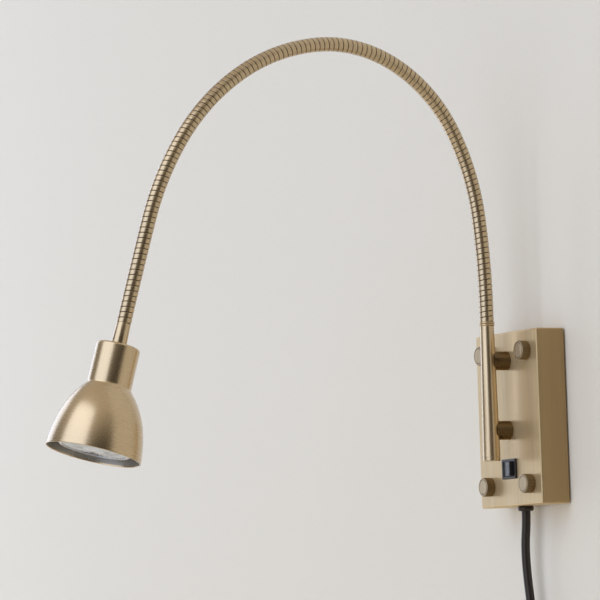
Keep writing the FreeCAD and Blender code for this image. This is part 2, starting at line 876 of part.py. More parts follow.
def pin_room():
    """One keyhole slot: the pin's head turns deep inside, its shank in a narrower slot, and its head comes
    in by a round hole at the slot's end."""
    head = pin_head_radius + pin_clearance
    shank = pin_shank_radius + pin_clearance
    head_low = bulb_base_at - pin_shank_length - pin_head_length - pin_clearance
    head_high = bulb_base_at - pin_shank_length + pin_clearance
    turn = math.radians(pin_twist)
    x = pin_circle / 2 * math.cos(turn)
    y = pin_circle / 2 * math.sin(turn)
    room = pin_sweep(head, head_low, head_high).fuse(pin_sweep(shank, head_high, holder_face_at))
    return room.fuse(rod(head, Vector(x, y, head_low), Vector(x, y, holder_face_at))).removeSplitter()


def lampholder():
    """Ceramic holder with two flats, and slots in which the bulb's pins enter and turn."""
    body = rod(holder_radius, along_head(holder_top_at), along_head(holder_face_at))
    flat = holder_flats / 2
    far = Vector(flat, holder_radius, holder_face_at)
    body = body.common(box_between(Vector(-flat, -holder_radius, holder_top_at), far))
    screw_z = holder_top_at + holder_screw_from_top
    for side in (-1, 1):
        room = pin_room()
        room.rotate(Vector(), Vector(0, 0, 1), 90 - 90 * side)
        outside = Vector(side * flat, 0, screw_z)
        inside = Vector(side * (flat - holder_screw_depth), 0, screw_z)
        body = body.cut(room).cut(rod(holder_screw_radius, outside, inside))
    return in_head(body)


def holder_screws():
    """Two short screws through the bracket's legs into the ceramic."""
    screws = []
    flat = holder_flats / 2
    outside = flat + bracket_leg_thickness
    z = holder_top_at + holder_screw_from_top
    for side in (-1, 1):
        inner = Vector(side * (flat - holder_screw_depth), 0, z)
        seat = Vector(side * outside, 0, z)
        head = Vector(side * (outside + holder_screw_head_height), 0, z)
        screw = rod(holder_screw_radius, inner, head).fuse(rod(holder_screw_head, seat, head))
        screws.append(screw.removeSplitter())
    return in_head(Part.makeCompound(screws))


def bulb_body():
    """Reflector bulb: base, flaring shoulder with a soft bulge, rim, and the seat of its lens."""
    neck_at = bulb_base_at + bulb_base_height
    rim_at = bulb_face_at - bulb_rim_height
    seat_at = bulb_face_at - lens_seat_depth
    seat = lens_radius + lens_clearance
    middle = Vector(
        (bulb_base_radius + bulb_face_radius) / 2 + bulb_shoulder_bulge,
        0,
        (neck_at + rim_at) / 2 - bulb_shoulder_bulge,
    )
    root = Vector(bulb_base_radius, 0, neck_at)
    shoulder = Part.Arc(root, middle, Vector(bulb_face_radius, 0, rim_at)).toShape()
    points = [
        (bulb_face_radius, rim_at),
        (bulb_face_radius, bulb_face_at - bulb_rim_edge),
        (bulb_face_radius - bulb_rim_edge, bulb_face_at),
        (seat, bulb_face_at),
        (seat, seat_at),
        (0, seat_at),
        (0, bulb_base_at),
        (bulb_base_radius, bulb_base_at),
        (bulb_base_radius, neck_at),
    ]
    edges = [shoulder]
    corners = [Vector(radius, 0, at) for radius, at in points]
    edges += [Part.LineSegment(first, last).toShape() for first, last in zip(corners, corners[1:])]
    wire = Part.Wire(Part.__sortEdges__(edges))
    return in_head(Part.Face(wire).revolve(Vector(), Vector(0, 0, 1), 360))


def bulb_lens():
    """Round lens in the bulb's face, slightly domed outwards, with a small flat pip in the middle."""
    low = bulb_face_at - lens_seat_depth
    edge = low + lens_edge_thickness
    ball = (lens_radius**2 + lens_dome**2) / (2 * lens_dome)
    centre_at = edge + lens_dome - ball
    rim = Vector(lens_radius, 0, edge)
    spots = [rim]
    for radius in (lens_radius / 2, lens_pip_radius):
        spots.append(Vector(radius, 0, centre_at + math.sqrt(ball**2 - radius**2)))
    crown = Part.Arc(*spots).toShape()
    pip_at = spots[-1].z
    corners = [spots[-1], Vector(0, 0, pip_at), Vector(0, 0, low), Vector(lens_radius, 0, low), rim]
    edges = [crown]
    edges += [Part.LineSegment(first, last).toShape() for first, last in zip(corners, corners[1:])]
    return in_head(Part.Face(Part.Wire(Part.__sortEdges__(edges))).revolve(Vector(), Vector(0, 0, 1), 360))


def bulb_pins():
    """Two pins with heads, which lock under the holder's slots."""
    pins = []
    for side in (-1, 1):
        x = side * pin_circle / 2
        base = Vector(x, 0, bulb_base_at)
        head_from = Vector(x, 0, bulb_base_at - pin_shank_length)
        tip = Vector(x, 0, bulb_base_at - pin_shank_length - pin_head_length)
        pin = rod(pin_shank_radius, base, tip).fuse(rod(pin_head_radius, head_from, tip))
        pins.append(pin.removeSplitter())
    return in_head(Part.makeCompound(pins))


# ---- rocker switch ----------------------------------------------------------------------------------


def switch_housing():
    """Bezel and body with the rocker's well and the sockets of its trunnions."""
    bezel_front = cover_front + bezel_thickness
    bezel = box_between(
        Vector(-bezel_width / 2, -bezel_front, switch_z - bezel_height / 2),
        Vector(bezel_width / 2, -cover_front, switch_z + bezel_height / 2),
    )
    bezel = bezel.makeFillet(bezel_corner, edges_along(bezel, Vector(0, 1, 0)))
    rims = [edge for edge in bezel.Edges if abs(edge.BoundBox.YMax + bezel_front) < 1e-6]
    bezel = bezel.makeFillet(bezel_edge, rims)
    body = box_between(
        Vector(-switch_body_width / 2, -cover_front, switch_z - switch_body_height / 2),
        Vector(switch_body_width / 2, -cover_front + switch_body_depth, switch_z + switch_body_height / 2),
    )
    well = box_between(
        Vector(-rocker_well_width / 2, -bezel_front, switch_z - rocker_well_height / 2),
        Vector(rocker_well_width / 2, -bezel_front + rocker_well_depth, switch_z + rocker_well_height / 2),
    )
    reach = Vector(0, 0, rocker_well_height / 2 + trunnion_socket)
    sockets = rod(trunnion_radius + trunnion_clearance, switch_pivot - reach, switch_pivot + reach)
    return bezel.fuse(body).removeSplitter().cut(well).cut(sockets)


def switch_rocker():
    """Rocker with two faces in a shallow V and round ends about its pivot, resting with its left side in."""
    throw = math.radians(rocker_throw)
    reach = rocker_reach
    slide = math.sqrt(reach**2 - rocker_face_offset**2)
    half_height = rocker_well_height / 2 - rocker_gap
    tip = Vector(
        slide * math.cos(throw) - rocker_face_offset * math.sin(throw),
        -(slide * math.sin(throw) + rocker_face_offset * math.cos(throw)),
        0,
    )
    foot = Vector(math.sqrt(reach**2 - rocker_skirt**2), rocker_skirt, 0)
    valley = Vector(0, -rocker_face_offset / math.cos(throw), 0)
    end = Vector(reach, 0, 0)
    left_tip = Vector(-tip.x, tip.y, 0)
    left_end = Vector(-end.x, end.y, 0)
    left_foot = Vector(-foot.x, foot.y, 0)
    edges = [
        Part.LineSegment(valley, tip).toShape(),
        Part.Arc(tip, end, foot).toShape(),
        Part.LineSegment(foot, left_foot).toShape(),
        Part.Arc(left_foot, left_end, left_tip).toShape(),
        Part.LineSegment(left_tip, valley).toShape(),
    ]
    rocker = Part.Face(Part.Wire(edges)).extrude(Vector(0, 0, 2 * half_height))
    rocker.translate(Vector(0, 0, -half_height))
    axle = Vector(0, 0, half_height + trunnion_length)
    rocker = rocker.fuse(rod(trunnion_radius, axle * -1, axle))
    rocker.rotate(Vector(), Vector(0, 0, 1), -rocker_throw)
    rocker.translate(switch_pivot)
    return rocker


def spade_place(side):
    """The middle of a spade terminal where it leaves the switch body."""
    return Vector(side * spade_spacing / 2, -cover_front + switch_body_depth, switch_z)


def switch_terminals():
    """Two spade terminals behind the switch."""
    spades = []
    for side in (-1, 1):
        root = spade_place(side)
        low = root - Vector(spade_thickness / 2, 0, spade_width / 2)
        spades.append(Part.makeBox(spade_thickness, spade_length, spade_width, low))
    return Part.makeCompound(spades)


# ---- terminal block and leads in the box --------------------------------------------------------------


def block_ways():
    """The three ways' distances from the middle."""
    return [-block_pitch, 0.0, block_pitch]


def block_screw_places():
    """The two screws of each way."""
    places = []
    for x in block_ways():
        for side in (-1, 1):
            places.append((x, block_z + side * block_screw_spacing / 2))
    return places


def terminal_block():
    """Three-way block on the plate: a base, three raised ways, a wire hole and two screw holes in each."""
    back = -plate_thickness
    low = block_z - block_height / 2
    high = block_z + block_height / 2
    block = box_between(Vector(-block_width / 2, back - block_base, low), Vector(block_width / 2, back, high))
    for x in block_ways():
        near = Vector(x - block_way / 2, back - block_depth, low)
        block = block.fuse(box_between(near, Vector(x + block_way / 2, back, high)))
    block = block.removeSplitter()
    for x in block_ways():
        start = Vector(x, -block_wire_depth, low)
        block = block.cut(rod(block_wire_hole, start, Vector(x, -block_wire_depth, high)))
    for x, z in block_screw_places():
        front = Vector(x, back - block_depth, z)
        deep = Vector(x, -block_wire_depth, z)
        block = block.cut(rod(block_screw_radius + block_screw_clearance, front, deep))
    return block


def terminal_screws():
    """Clamp screws sunk in the block's ways."""
    screws = []
    for x, z in block_screw_places():
        head = Vector(x, -plate_thickness - block_depth + block_screw_sunk, z)
        screws.append(rod(block_screw_radius, head, head + Vector(0, block_screw_length, 0)))
    return Part.makeCompound(screws)


def supply_leads():
    """Wires from the cord's sheath: live to the switch, neutral to the block, earth to its screw, and the
    switched live from the switch to the block."""
    sheath_end = cover_bottom + sheath_in_box
    bend = sheath_end + wire_exit
    offset = cord_radius / 2
    from_wall = -cord_from_wall
    spade_left = spade_place(-1) + Vector(0, spade_length / 2, -spade_width / 2)
    spade_right = spade_place(1) + Vector(0, spade_length / 2, spade_width / 2)
    over_switch = switch_z + switch_body_height / 2
    way = block_pitch
    depth = -block_wire_depth
    block_low = block_z - block_height / 2
    below_block = block_low - 6 * wire_straight
    earth_end = earth_screw_z - earth_head_radius
    earth_y = -(earth_screw_length - earth_head_height / 2)
    live = [
        Vector(-offset, from_wall, sheath_end),
        Vector(-offset, from_wall, bend),
        spade_left - Vector(0, 0, wire_straight),
        spade_left,
    ]
    neutral = [
        Vector(0, from_wall + offset, sheath_end),
        Vector(0, from_wall + offset, over_switch),
        Vector(-way, depth, below_block),
        Vector(-way, depth, block_low),
    ]
    earth = [
        Vector(offset, from_wall, sheath_end),
        Vector(offset, from_wall, bend),
        Vector(earth_screw_x, earth_y, earth_end - 2 * wire_straight),
        Vector(earth_screw_x, earth_y, earth_end),
    ]
    switched = [
        spade_right,
        spade_right + Vector(0, 0, 2 * wire_straight),
        Vector(way, depth, below_block),
        Vector(way, depth, block_low),
    ]
    wires = []
    for points in (live, neutral, earth, switched):
        edges, _ = rounded_path(points)
        wires.append(tube_on(edges, wire_radius))
    return Part.makeCompound(wires)


def arm_lead():
    """Lead from the block through the upper standoff into the tube and up to the neck."""
    points = [
        Vector(0, -block_wire_depth, block_z + block_height / 2),
        Vector(0, -block_wire_depth, standoff_upper_z),
        Vector(0, -tube_axis_from_wall, standoff_upper_z),
        neck_start,
    ]
    edges, _ = rounded_path(points, lead_bend)
    return tube_on(edges, lead_radius)


# ---- cord -------------------------------------------------------------------------------------------


def cord_grip():
    """Cord grip snapped in the cover's bottom wall: a rounded foot below, a neck in the wall, a flange inside
    and a tapered sleeve up the cord."""
    inside = cover_bottom + cover_wall
    sleeve_from = inside + grip_inner_height
    sleeve_to = sleeve_from + grip_sleeve_length
    profile = [
        (cord_radius, grip_bottom),
        (grip_foot_radius, grip_bottom),
        (grip_flange_radius, grip_bottom + grip_below_cover / 3),
        (grip_flange_radius, cover_bottom - grip_below_cover / 3),
        (grip_foot_radius, cover_bottom),
        (grip_neck_radius, cover_bottom),
        (grip_neck_radius, inside),
        (grip_inner_radius, inside),
        (grip_inner_radius, sleeve_from),
        (grip_sleeve_root_radius, sleeve_from),
        (grip_sleeve_tip_radius, sleeve_to),
        (cord_radius, sleeve_to),
    ]
    return turned(profile, Vector(0, -cord_from_wall, 0), Vector(0, 0, 1))


def supply_cord():
    """The cord's sheathed end inside the grip and the box."""
    start = Vector(0, -cord_from_wall, grip_bottom)
    return rod(cord_radius, start, Vector(0, -cord_from_wall, cover_bottom + sheath_in_box))


def drop_points():
    """The free stretch's points: the grip's mouth, then the route chosen by hand."""
    route = [Vector(x, y, grip_bottom - below) for x, y, below in drop_route]
    return [Vector(0, -cord_from_wall, grip_bottom)] + route


def cord_drop():
    """The cord from the grip to the coil."""
    edges, radii = rounded_path(drop_points())
    print("cord_drop radii", [round(radius, 1) for radius in radii])
    solid = tube_on(edges, cord_radius)
    report_tube("cord_drop", solid, edges, cord_radius)
    return solid


def coil_centre():
    """The coil's centre, level with its first layer: its outer turn is tangent to the free stretch's end."""
    angle = math.radians(coil_entry_angle)
    last = drop_points()[-1]
    entry = last + Vector(math.sin(angle), 0, -math.cos(angle)) * cord_diameter
    return entry - Vector(math.cos(angle), 0, math.sin(angle)) * coil_outer_radius


def coil_point(turns):
    """A point of the coil after so many turns: it spirals in on one layer and out on the next, at a steady
    rate, and moves from layer to layer in the half turn round its smallest loop."""
    centre = coil_centre()
    half = coil_turns / 2
    radius = coil_outer_radius - coil_turn_pitch * (half - abs(half - turns))
    climb = min(max((turns - half) / coil_climb_turns + 0.5, 0.0), 1.0)
    climb = climb**2 * (3 - 2 * climb)
    angle = math.radians(coil_entry_angle) - 2 * math.pi * turns
    return centre + Vector(radius * math.cos(angle), -coil_layer_pitch * climb, radius * math.sin(angle))


def biarc(start, start_way, end, end_way):
    """Two tangent arcs between two points with given directions, with equal tangent lengths."""
    chord = end - start
    ways = start_way + end_way
    a = ways.dot(ways) - 4
    b = -2 * chord.dot(ways)
    c = chord.dot(chord)
    length = (-b - math.sqrt(b * b - 4 * a * c)) / (2 * a)
    joint = (start + start_way * length + end - end_way * length) * 0.5
    return [tangent_arc(start, start_way, joint), tangent_arc(end, end_way * -1, joint)]


def tangent_arc(start, way, end):
    """The arc that leaves a point in a direction and reaches another point."""
    chord = end - start
    side = chord - way * chord.dot(way)
    radius = chord.dot(chord) / (2 * side.Length)
    side.normalize()
    centre = start + side * radius
    out = (start + end) * 0.5 - centre
    out.normalize()
    return Part.Arc(start, centre + out * radius, end).toShape()


def coil_exit():
    """Where the coil's last turn ends and which way it points."""
    angle = math.radians(coil_entry_angle) - 2 * math.pi * coil_turns
    return coil_point(coil_turns), Vector(math.sin(angle), 0, -math.cos(angle))


def cord_coil():
    """The put-away length: two layers of turns, one unbroken tube, straight for a diameter at both ends."""
    spots = [coil_point(coil_turns * index / coil_steps) for index in range(coil_steps + 1)]
    entry_angle = math.radians(coil_entry_angle)
    entry_way = Vector(math.sin(entry_angle), 0, -math.cos(entry_angle))
    exit_spot, exit_way = coil_exit()
    ways = [entry_way]
    small = 1e-3
    for index in range(1, coil_steps):
        turns = coil_turns * index / coil_steps
        way = coil_point(turns + small) - coil_point(turns - small)
        way.normalize()
        ways.append(way)
    ways.append(exit_way)
    edges = [Part.LineSegment(spots[0] - entry_way * cord_diameter, spots[0]).toShape()]
    for index in range(coil_steps):
        edges += biarc(spots[index], ways[index], spots[index + 1], ways[index + 1])
    edges.append(Part.LineSegment(exit_spot, exit_spot + exit_way * cord_diameter).toShape())
    start = spots[0] - entry_way * cord_diameter
    wire = Part.Wire(edges)
    section = Part.Wire([Part.Circle(start, entry_way, cord_radius).toShape()])
    solid = wire.makePipeShell([section], True, False)
    report_tube("cord_coil", solid, edges, cord_radius)
    report_coil_gap()
    return solid


def report_coil_gap():
    """Print the coil's least gap to itself, measured between points more than half a turn apart."""
    per_turn = 48
    count = int(coil_turns * per_turn)
    points = [coil_point(index / per_turn) for index in range(count + 1)]
    least = min(
        (points[first] - points[second]).Length
        for first in range(count + 1)
        for second in range(first + per_turn // 2, count + 1)
    )
    print(f"cord_coil: least gap to itself {least - cord_diameter:.2f}")


def cord_tail():
    """The cord's end below the coil, through the sleeve to the plug."""
    spot, way = coil_exit()
    start = spot + way * cord_diameter
    return rod(cord_radius, start, start + way * tail_length)


def cord_tie():
    """A flat band round the coil's bundle, on the side away from the free ends."""
    centre = coil_centre()
    inner = coil_outer_radius - coil_turn_pitch * coil_turns / 2 - cord_radius - tie_clearance
    outer = coil_outer_radius + cord_radius + tie_clearance
    near_y = centre.y + cord_radius + tie_clearance
    far_y = centre.y - coil_layer_pitch - cord_radius - tie_clearance
    low = centre.z - tie_width / 2
    high = centre.z + tie_width / 2
    hole = box_between(Vector(centre.x - outer, far_y, low), Vector(centre.x - inner, near_y, high))
    grow = Vector(tie_thickness, tie_thickness, 0)
    band = box_between(
        Vector(centre.x - outer, far_y, low) - grow, Vector(centre.x - inner, near_y, high) + grow
    )
    band = band.makeFillet(tie_thickness, edges_along(band, Vector(0, 0, 1)))
    return band.cut(hole)


# ---- plug -------------------------------------------------------------------------------------------


def plug_top():
    """The middle of the plug's cord side."""
    spot, way = coil_exit()
    return spot + way * (cord_diameter + tail_length)


def plug_face_y():
    """The plane of the plug's pin face."""
    return plug_top().y - plug_depth / 2


def pin_places():
    """Each pin's centre on the pin face with its size: two line pins towards the cord, the earth pin away."""
    top = plug_top()
    line_z = top.z - plug_line_pin_from_top
    half = plug_pin_spread / 2
    return [
        (top.x - half, line_z, plug_line_pin),
        (top.x + half, line_z, plug_line_pin),
        (top.x, line_z - plug_pin_spread, plug_earth_pin),
    ]


def pin_box(x, z, size, depth, length):
    """A pin's block, from a depth inside the pin face to its length outside."""
    width, height, _ = size
    face = plug_face_y()
    low = Vector(x - width / 2, face - length, z - height / 2)
    return box_between(low, Vector(x + width / 2, face + depth, z + height / 2))


def fuse_cover_box(clearance):
    """The fuse cover's block in the pin face, grown sideways by a clearance."""
    width, height, depth = fuse_cover_size
    top = plug_top()
    face = plug_face_y()
    middle = top.z - fuse_cover_from_top
    half_w = width / 2 + clearance
    half_h = height / 2 + clearance
    low = Vector(top.x - half_w, face, middle - half_h)
    return box_between(low, Vector(top.x + half_w, face + depth, middle + half_h))


def plug_body():
    """Moulded plug: its pin face is wider than its back, with seats for the pins and the fuse cover."""
    top = plug_top()
    middle = top.z - plug_height / 2
    face = rounded_outline(plug_width, plug_height, plug_corner, plug_face_y(), top.x, middle)
    back_y = plug_face_y() + plug_depth
    back_middle = top.z - plug_back_height / 2
    back = rounded_outline(plug_back_width, plug_back_height, plug_back_corner, back_y, top.x, back_middle)
    body = Part.makeLoft([face, back], True, True)
    for x, z, size in pin_places():
        body = body.cut(pin_box(x, z, size, plug_pin_seat, 0))
    return body.cut(fuse_cover_box(fuse_cover_clearance))


def plug_pins():
    """Two line pins and the longer earth pin, with chamfered tips."""
    pins = []
    for x, z, size in pin_places():
        pin = pin_box(x, z, size, plug_pin_seat, size[2])
        tips = [edge for edge in pin.Edges if abs(edge.BoundBox.YMax - (plug_face_y() - size[2])) < 1e-6]
        pins.append(pin.makeChamfer(size[0] / 8, tips))
    return Part.makeCompound(pins)


def plug_sleeve():
    """Tapered, ringed sleeve that keeps the cord from bending sharply at the plug."""
    step = sleeve_length / sleeve_rings
    profile = [(cord_radius, 0)]
    for index in range(sleeve_rings):
        share = index / sleeve_rings
        radius = sleeve_big_radius + (sleeve_small_radius - sleeve_big_radius) * share
        low = index * step
        shoulder = low + step * sleeve_ring_share
        profile.append((radius, low))
        profile.append((radius, shoulder))
        profile.append((radius - sleeve_ring_depth, shoulder + step * sleeve_ring_slope))
        profile.append((radius - sleeve_ring_depth, low + step))
    profile.append((cord_radius, sleeve_length))
    return turned(profile, plug_top(), Vector(0, 0, 1))


# ---- the whole lamp ---------------------------------------------------------------------------------


def build():
    """Every piece by its name."""
    parts = {
        "mounting_plate": mounting_plate(),
        "plate_studs": plate_studs(),
        "stud_spacers": stud_spacers(),
        "earth_screw": earth_screw(),
        "cover_box": cover_box(),
        "standoff_upper": standoff(standoff_upper_z),
        "standoff_lower": standoff(standoff_lower_z),
        "standoff_nipples": standoff_nipples(),
        "standoff_nuts": standoff_nuts(),
        "arm_tube": arm_tube(),
        "tube_end_cap": tube_end_cap(),
        "neck_collar": neck_collar(),
        "head_ferrule": head_ferrule(),
        "head_nipple": head_nipple(),
        "head_nut": head_nut(),
        "shade": shade(),
        "holder_bracket": holder_bracket(),
        "lampholder": lampholder(),
        "holder_screws": holder_screws(),
        "bulb_body": bulb_body(),
        "bulb_lens": bulb_lens(),
        "bulb_pins": bulb_pins(),
        "switch_housing": switch_housing(),
        "switch_rocker": switch_rocker(),
        "switch_terminals": switch_terminals(),
        "terminal_block": terminal_block(),
        "terminal_screws": terminal_screws(),
        "supply_cord": supply_cord(),
        "supply_leads": supply_leads(),
        "arm_lead": arm_lead(),
        "cord_grip": cord_grip(),
        "cord_drop": cord_drop(),
        "cord_coil": cord_coil(),
        "cord_tail": cord_tail(),
        "cord_tie": cord_tie(),
        "plug_body": plug_body(),
        "plug_pins": plug_pins(),
        "plug_fuse_cover": fuse_cover_box(0),
        "plug_sleeve": plug_sleeve(),
    }
    for place, (x, z) in stud_places().items():
        parts[f"thumb_nut_{place}"] = thumb_nut(x, z)
    bounds = neck.bounds()
    for index, (start, end) in enumerate(zip(bounds, bounds[1:]), 1):
        parts[f"neck_section_{index}"] = neck_section(start, end)
        reach = holder_top_at if end == bounds[-1] else 0.0
        parts[f"lead_section_{index}"] = lead_section(start, end, reach)
    return parts


os.makedirs("parts", exist_ok=True)
for name, shape in build().items():
    if not shape.isValid():
        print("not valid:", name)
    shape.exportStep(f"parts/{name}.step")
for distance in neck.bounds():
    spot, heading = neck.at(distance)
    print(f"neck at {distance:.2f}: y {spot.y:.4f} z {spot.z:.4f} heading {math.degrees(heading):.3f}")
print("coil centre", coil_centre(), "plug top", plug_top())
print("switch pivot", switch_pivot)
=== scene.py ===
"""Bedside wall reading lamp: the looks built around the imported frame, in metres, in the frame's own
axes.

The origin is the centre of the wall plate's back, +Z is up, +X is right seen from the room and -Y
points out of the wall. Every new piece is a surface on a grid of two parameters, worked out with
numpy, or a curve.
"""

import json
import math

import bpy
import numpy as np
from bpy.props import FloatProperty, FloatVectorProperty, IntProperty, PointerProperty
from mathutils import Matrix, Vector


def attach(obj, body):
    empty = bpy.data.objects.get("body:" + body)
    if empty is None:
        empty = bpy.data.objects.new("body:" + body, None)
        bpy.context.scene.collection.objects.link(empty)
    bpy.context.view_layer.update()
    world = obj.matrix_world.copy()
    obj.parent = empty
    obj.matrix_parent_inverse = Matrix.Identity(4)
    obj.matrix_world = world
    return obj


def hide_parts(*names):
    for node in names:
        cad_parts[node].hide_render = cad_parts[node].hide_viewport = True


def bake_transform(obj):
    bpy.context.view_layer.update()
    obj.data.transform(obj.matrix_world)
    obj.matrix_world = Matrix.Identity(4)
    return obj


bl_info = {
    "name": "Wall reading lamp",
    "version": (1, 0, 0),
    "blender": (4, 5, 0),
    "location": "View3D > Sidebar > Reading lamp",
    "description": "Builds the finish and fine detail of a wall reading lamp around its packed frame",
    "category": "Add Mesh",
}

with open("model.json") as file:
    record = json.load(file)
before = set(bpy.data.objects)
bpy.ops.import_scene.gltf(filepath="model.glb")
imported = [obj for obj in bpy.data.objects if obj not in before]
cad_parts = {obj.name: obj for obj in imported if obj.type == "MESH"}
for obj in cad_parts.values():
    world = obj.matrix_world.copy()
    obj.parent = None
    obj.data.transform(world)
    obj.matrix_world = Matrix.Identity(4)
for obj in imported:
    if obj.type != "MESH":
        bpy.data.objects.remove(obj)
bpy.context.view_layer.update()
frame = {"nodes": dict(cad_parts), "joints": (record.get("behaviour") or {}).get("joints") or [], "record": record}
joints = {joint["name"]: joint for joint in frame["joints"]}
mm = 0.001


# ---- meshes from grids -------------------------------------------------------------------------------


def surface(name, grids, uvs=None, flip=False, sharp=35.0):
    """A mesh from one grid of points, or from several that share their borders, each of shape (rows,
    columns, 3). Points that coincide become one vertex, so a seam or a pole closes, and a face that
    loses a side becomes a triangle or goes. uvs, where given, have the grids' shapes with 2 values a
    point. flip turns the faces round. Edges sharper than an angle stay hard."""
    grids = grids if isinstance(grids, list) else [grids]
    if uvs is not None and not isinstance(uvs, list):
        uvs = [uvs]
    corners = []
    before = 0
    for grid in grids:
        rows, cols = grid.shape[:2]
        row, col = np.meshgrid(np.arange(rows - 1), np.arange(cols - 1), indexing="ij")
        corner = [row * cols + col, (row + 1) * cols + col, (row + 1) * cols + col + 1, row * cols + col + 1]
        corners.append(np.stack(corner).reshape(4, -1).T + before)
        before += rows * cols
    points = np.concatenate([grid.reshape(-1, 3) for grid in grids])
    corner = np.concatenate(corners)
    if flip:
        corner = corner[:, ::-1]
    _, first, same = np.unique(np.round(points, 7), axis=0, return_index=True, return_inverse=True)
    vertex = same.reshape(-1)[corner]
    keep = vertex != np.roll(vertex, -1, axis=1)
    keep &= (keep.sum(axis=1) >= 3)[:, None]
    sides = keep.sum(axis=1)
    sides = sides[sides > 0]
    mesh = bpy.data.meshes.new(name)
    mesh.vertices.add(len(first))
    mesh.vertices.foreach_set("co", points[first].ravel())
    mesh.loops.add(int(sides.sum()))
    mesh.loops.foreach_set("vertex_index", vertex[keep])
    mesh.polygons.add(len(sides))
    mesh.polygons.foreach_set("loop_start", np.concatenate([[0], np.cumsum(sides)[:-1]]))
    if uvs is not None:
        layer = mesh.uv_layers.new(name="UVMap")
        flat = np.concatenate([uv.reshape(-1, 2) for uv in uvs])
        layer.data.foreach_set("uv", flat[corner[keep]].ravel())
    mesh.update(calc_edges=True)
    mesh.validate()
    mesh.shade_smooth()
    mesh.set_sharp_from_angle(angle=math.radians(sharp))
    piece = bpy.data.objects.new(name, mesh)
    bpy.context.collection.objects.link(piece)
    return piece


def placed(points, origin, axis):
    """Points given with +Z along an axis and +X steady, put at an origin."""
    along = np.array(axis, float)
    along /= np.linalg.norm(along)
    steady = np.array([1.0, 0.0, 0.0])
    side = np.cross(along, steady)
    return np.array(origin) + points @ np.stack([steady, side, along])


def turned(name, profile, origin, axis, segments=96, sharp=35.0):
    """A body of revolution. profile holds (radius, distance along the axis) points that run once round
    the section or from the axis to the axis; each point goes round the axis as (r cos a, r sin a, z).
    The winding's sign tells which way the faces look."""
    profile = np.array(profile, float)
    if profile[0, 0] > 0 or profile[-1, 0] > 0:
        profile = np.vstack([profile, profile[:1]])
    radius, along = profile.T
    area = np.sum(radius * np.roll(along, -1) - np.roll(radius, -1) * along)
    angle = np.linspace(0.0, 2 * math.pi, segments + 1)
    angle[-1] = 0.0
    points = np.stack(
        [
            radius[:, None] * np.cos(angle),
            radius[:, None] * np.sin(angle),
            np.broadcast_to(along[:, None], (len(radius), len(angle))),
        ],
        axis=-1,
    )
    return surface(name, placed(points, origin, axis), flip=area > 0, sharp=sharp)


def arc(centre, radius, first, last, count):
    """Points on an arc between two angles in degrees."""
    angle = np.radians(np.linspace(first, last, count))
    return np.stack([centre[0] + radius * np.cos(angle), centre[1] + radius * np.sin(angle)], axis=1)


def stadium_rows(section, centre, half, round_edge, steps=5):
    """Rows that carry a closed section along Z between -half and half, with rounded ends: near an end
    the section shrinks towards its centre as e(1 - cos b) while it moves on as e sin b, and a row of
    one point closes it."""
    bend = np.linspace(0.0, math.pi / 2, steps)
    inset = round_edge * (1 - np.cos(bend))
    level = half - round_edge + round_edge * np.sin(bend)
    size = np.max(np.linalg.norm(section - centre, axis=1))
    scale = np.concatenate([[0.0], (1 - inset / size)[::-1], 1 - inset / size, [0.0]])
    height = np.concatenate([[-half], -level[::-1], level, [half]])
    flat = centre + (section - centre) * scale[:, None, None]
    upright = np.broadcast_to(height[:, None, None], (len(height), len(section), 1))
    return np.concatenate([flat, upright], axis=2)


def show(piece, body, slot, finish, *replaced):
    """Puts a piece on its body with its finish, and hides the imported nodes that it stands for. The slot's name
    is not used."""
    piece.data.materials.clear()
    piece.data.materials.append(finish)
    if body:
        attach(piece, body)
    if replaced:
        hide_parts(*replaced)


# ---- finishes ----------------------------------------------------------------------------------------


def colour4(colour):
    """A colour with full opacity."""
    return (*tuple(colour)[:3], 1.0)


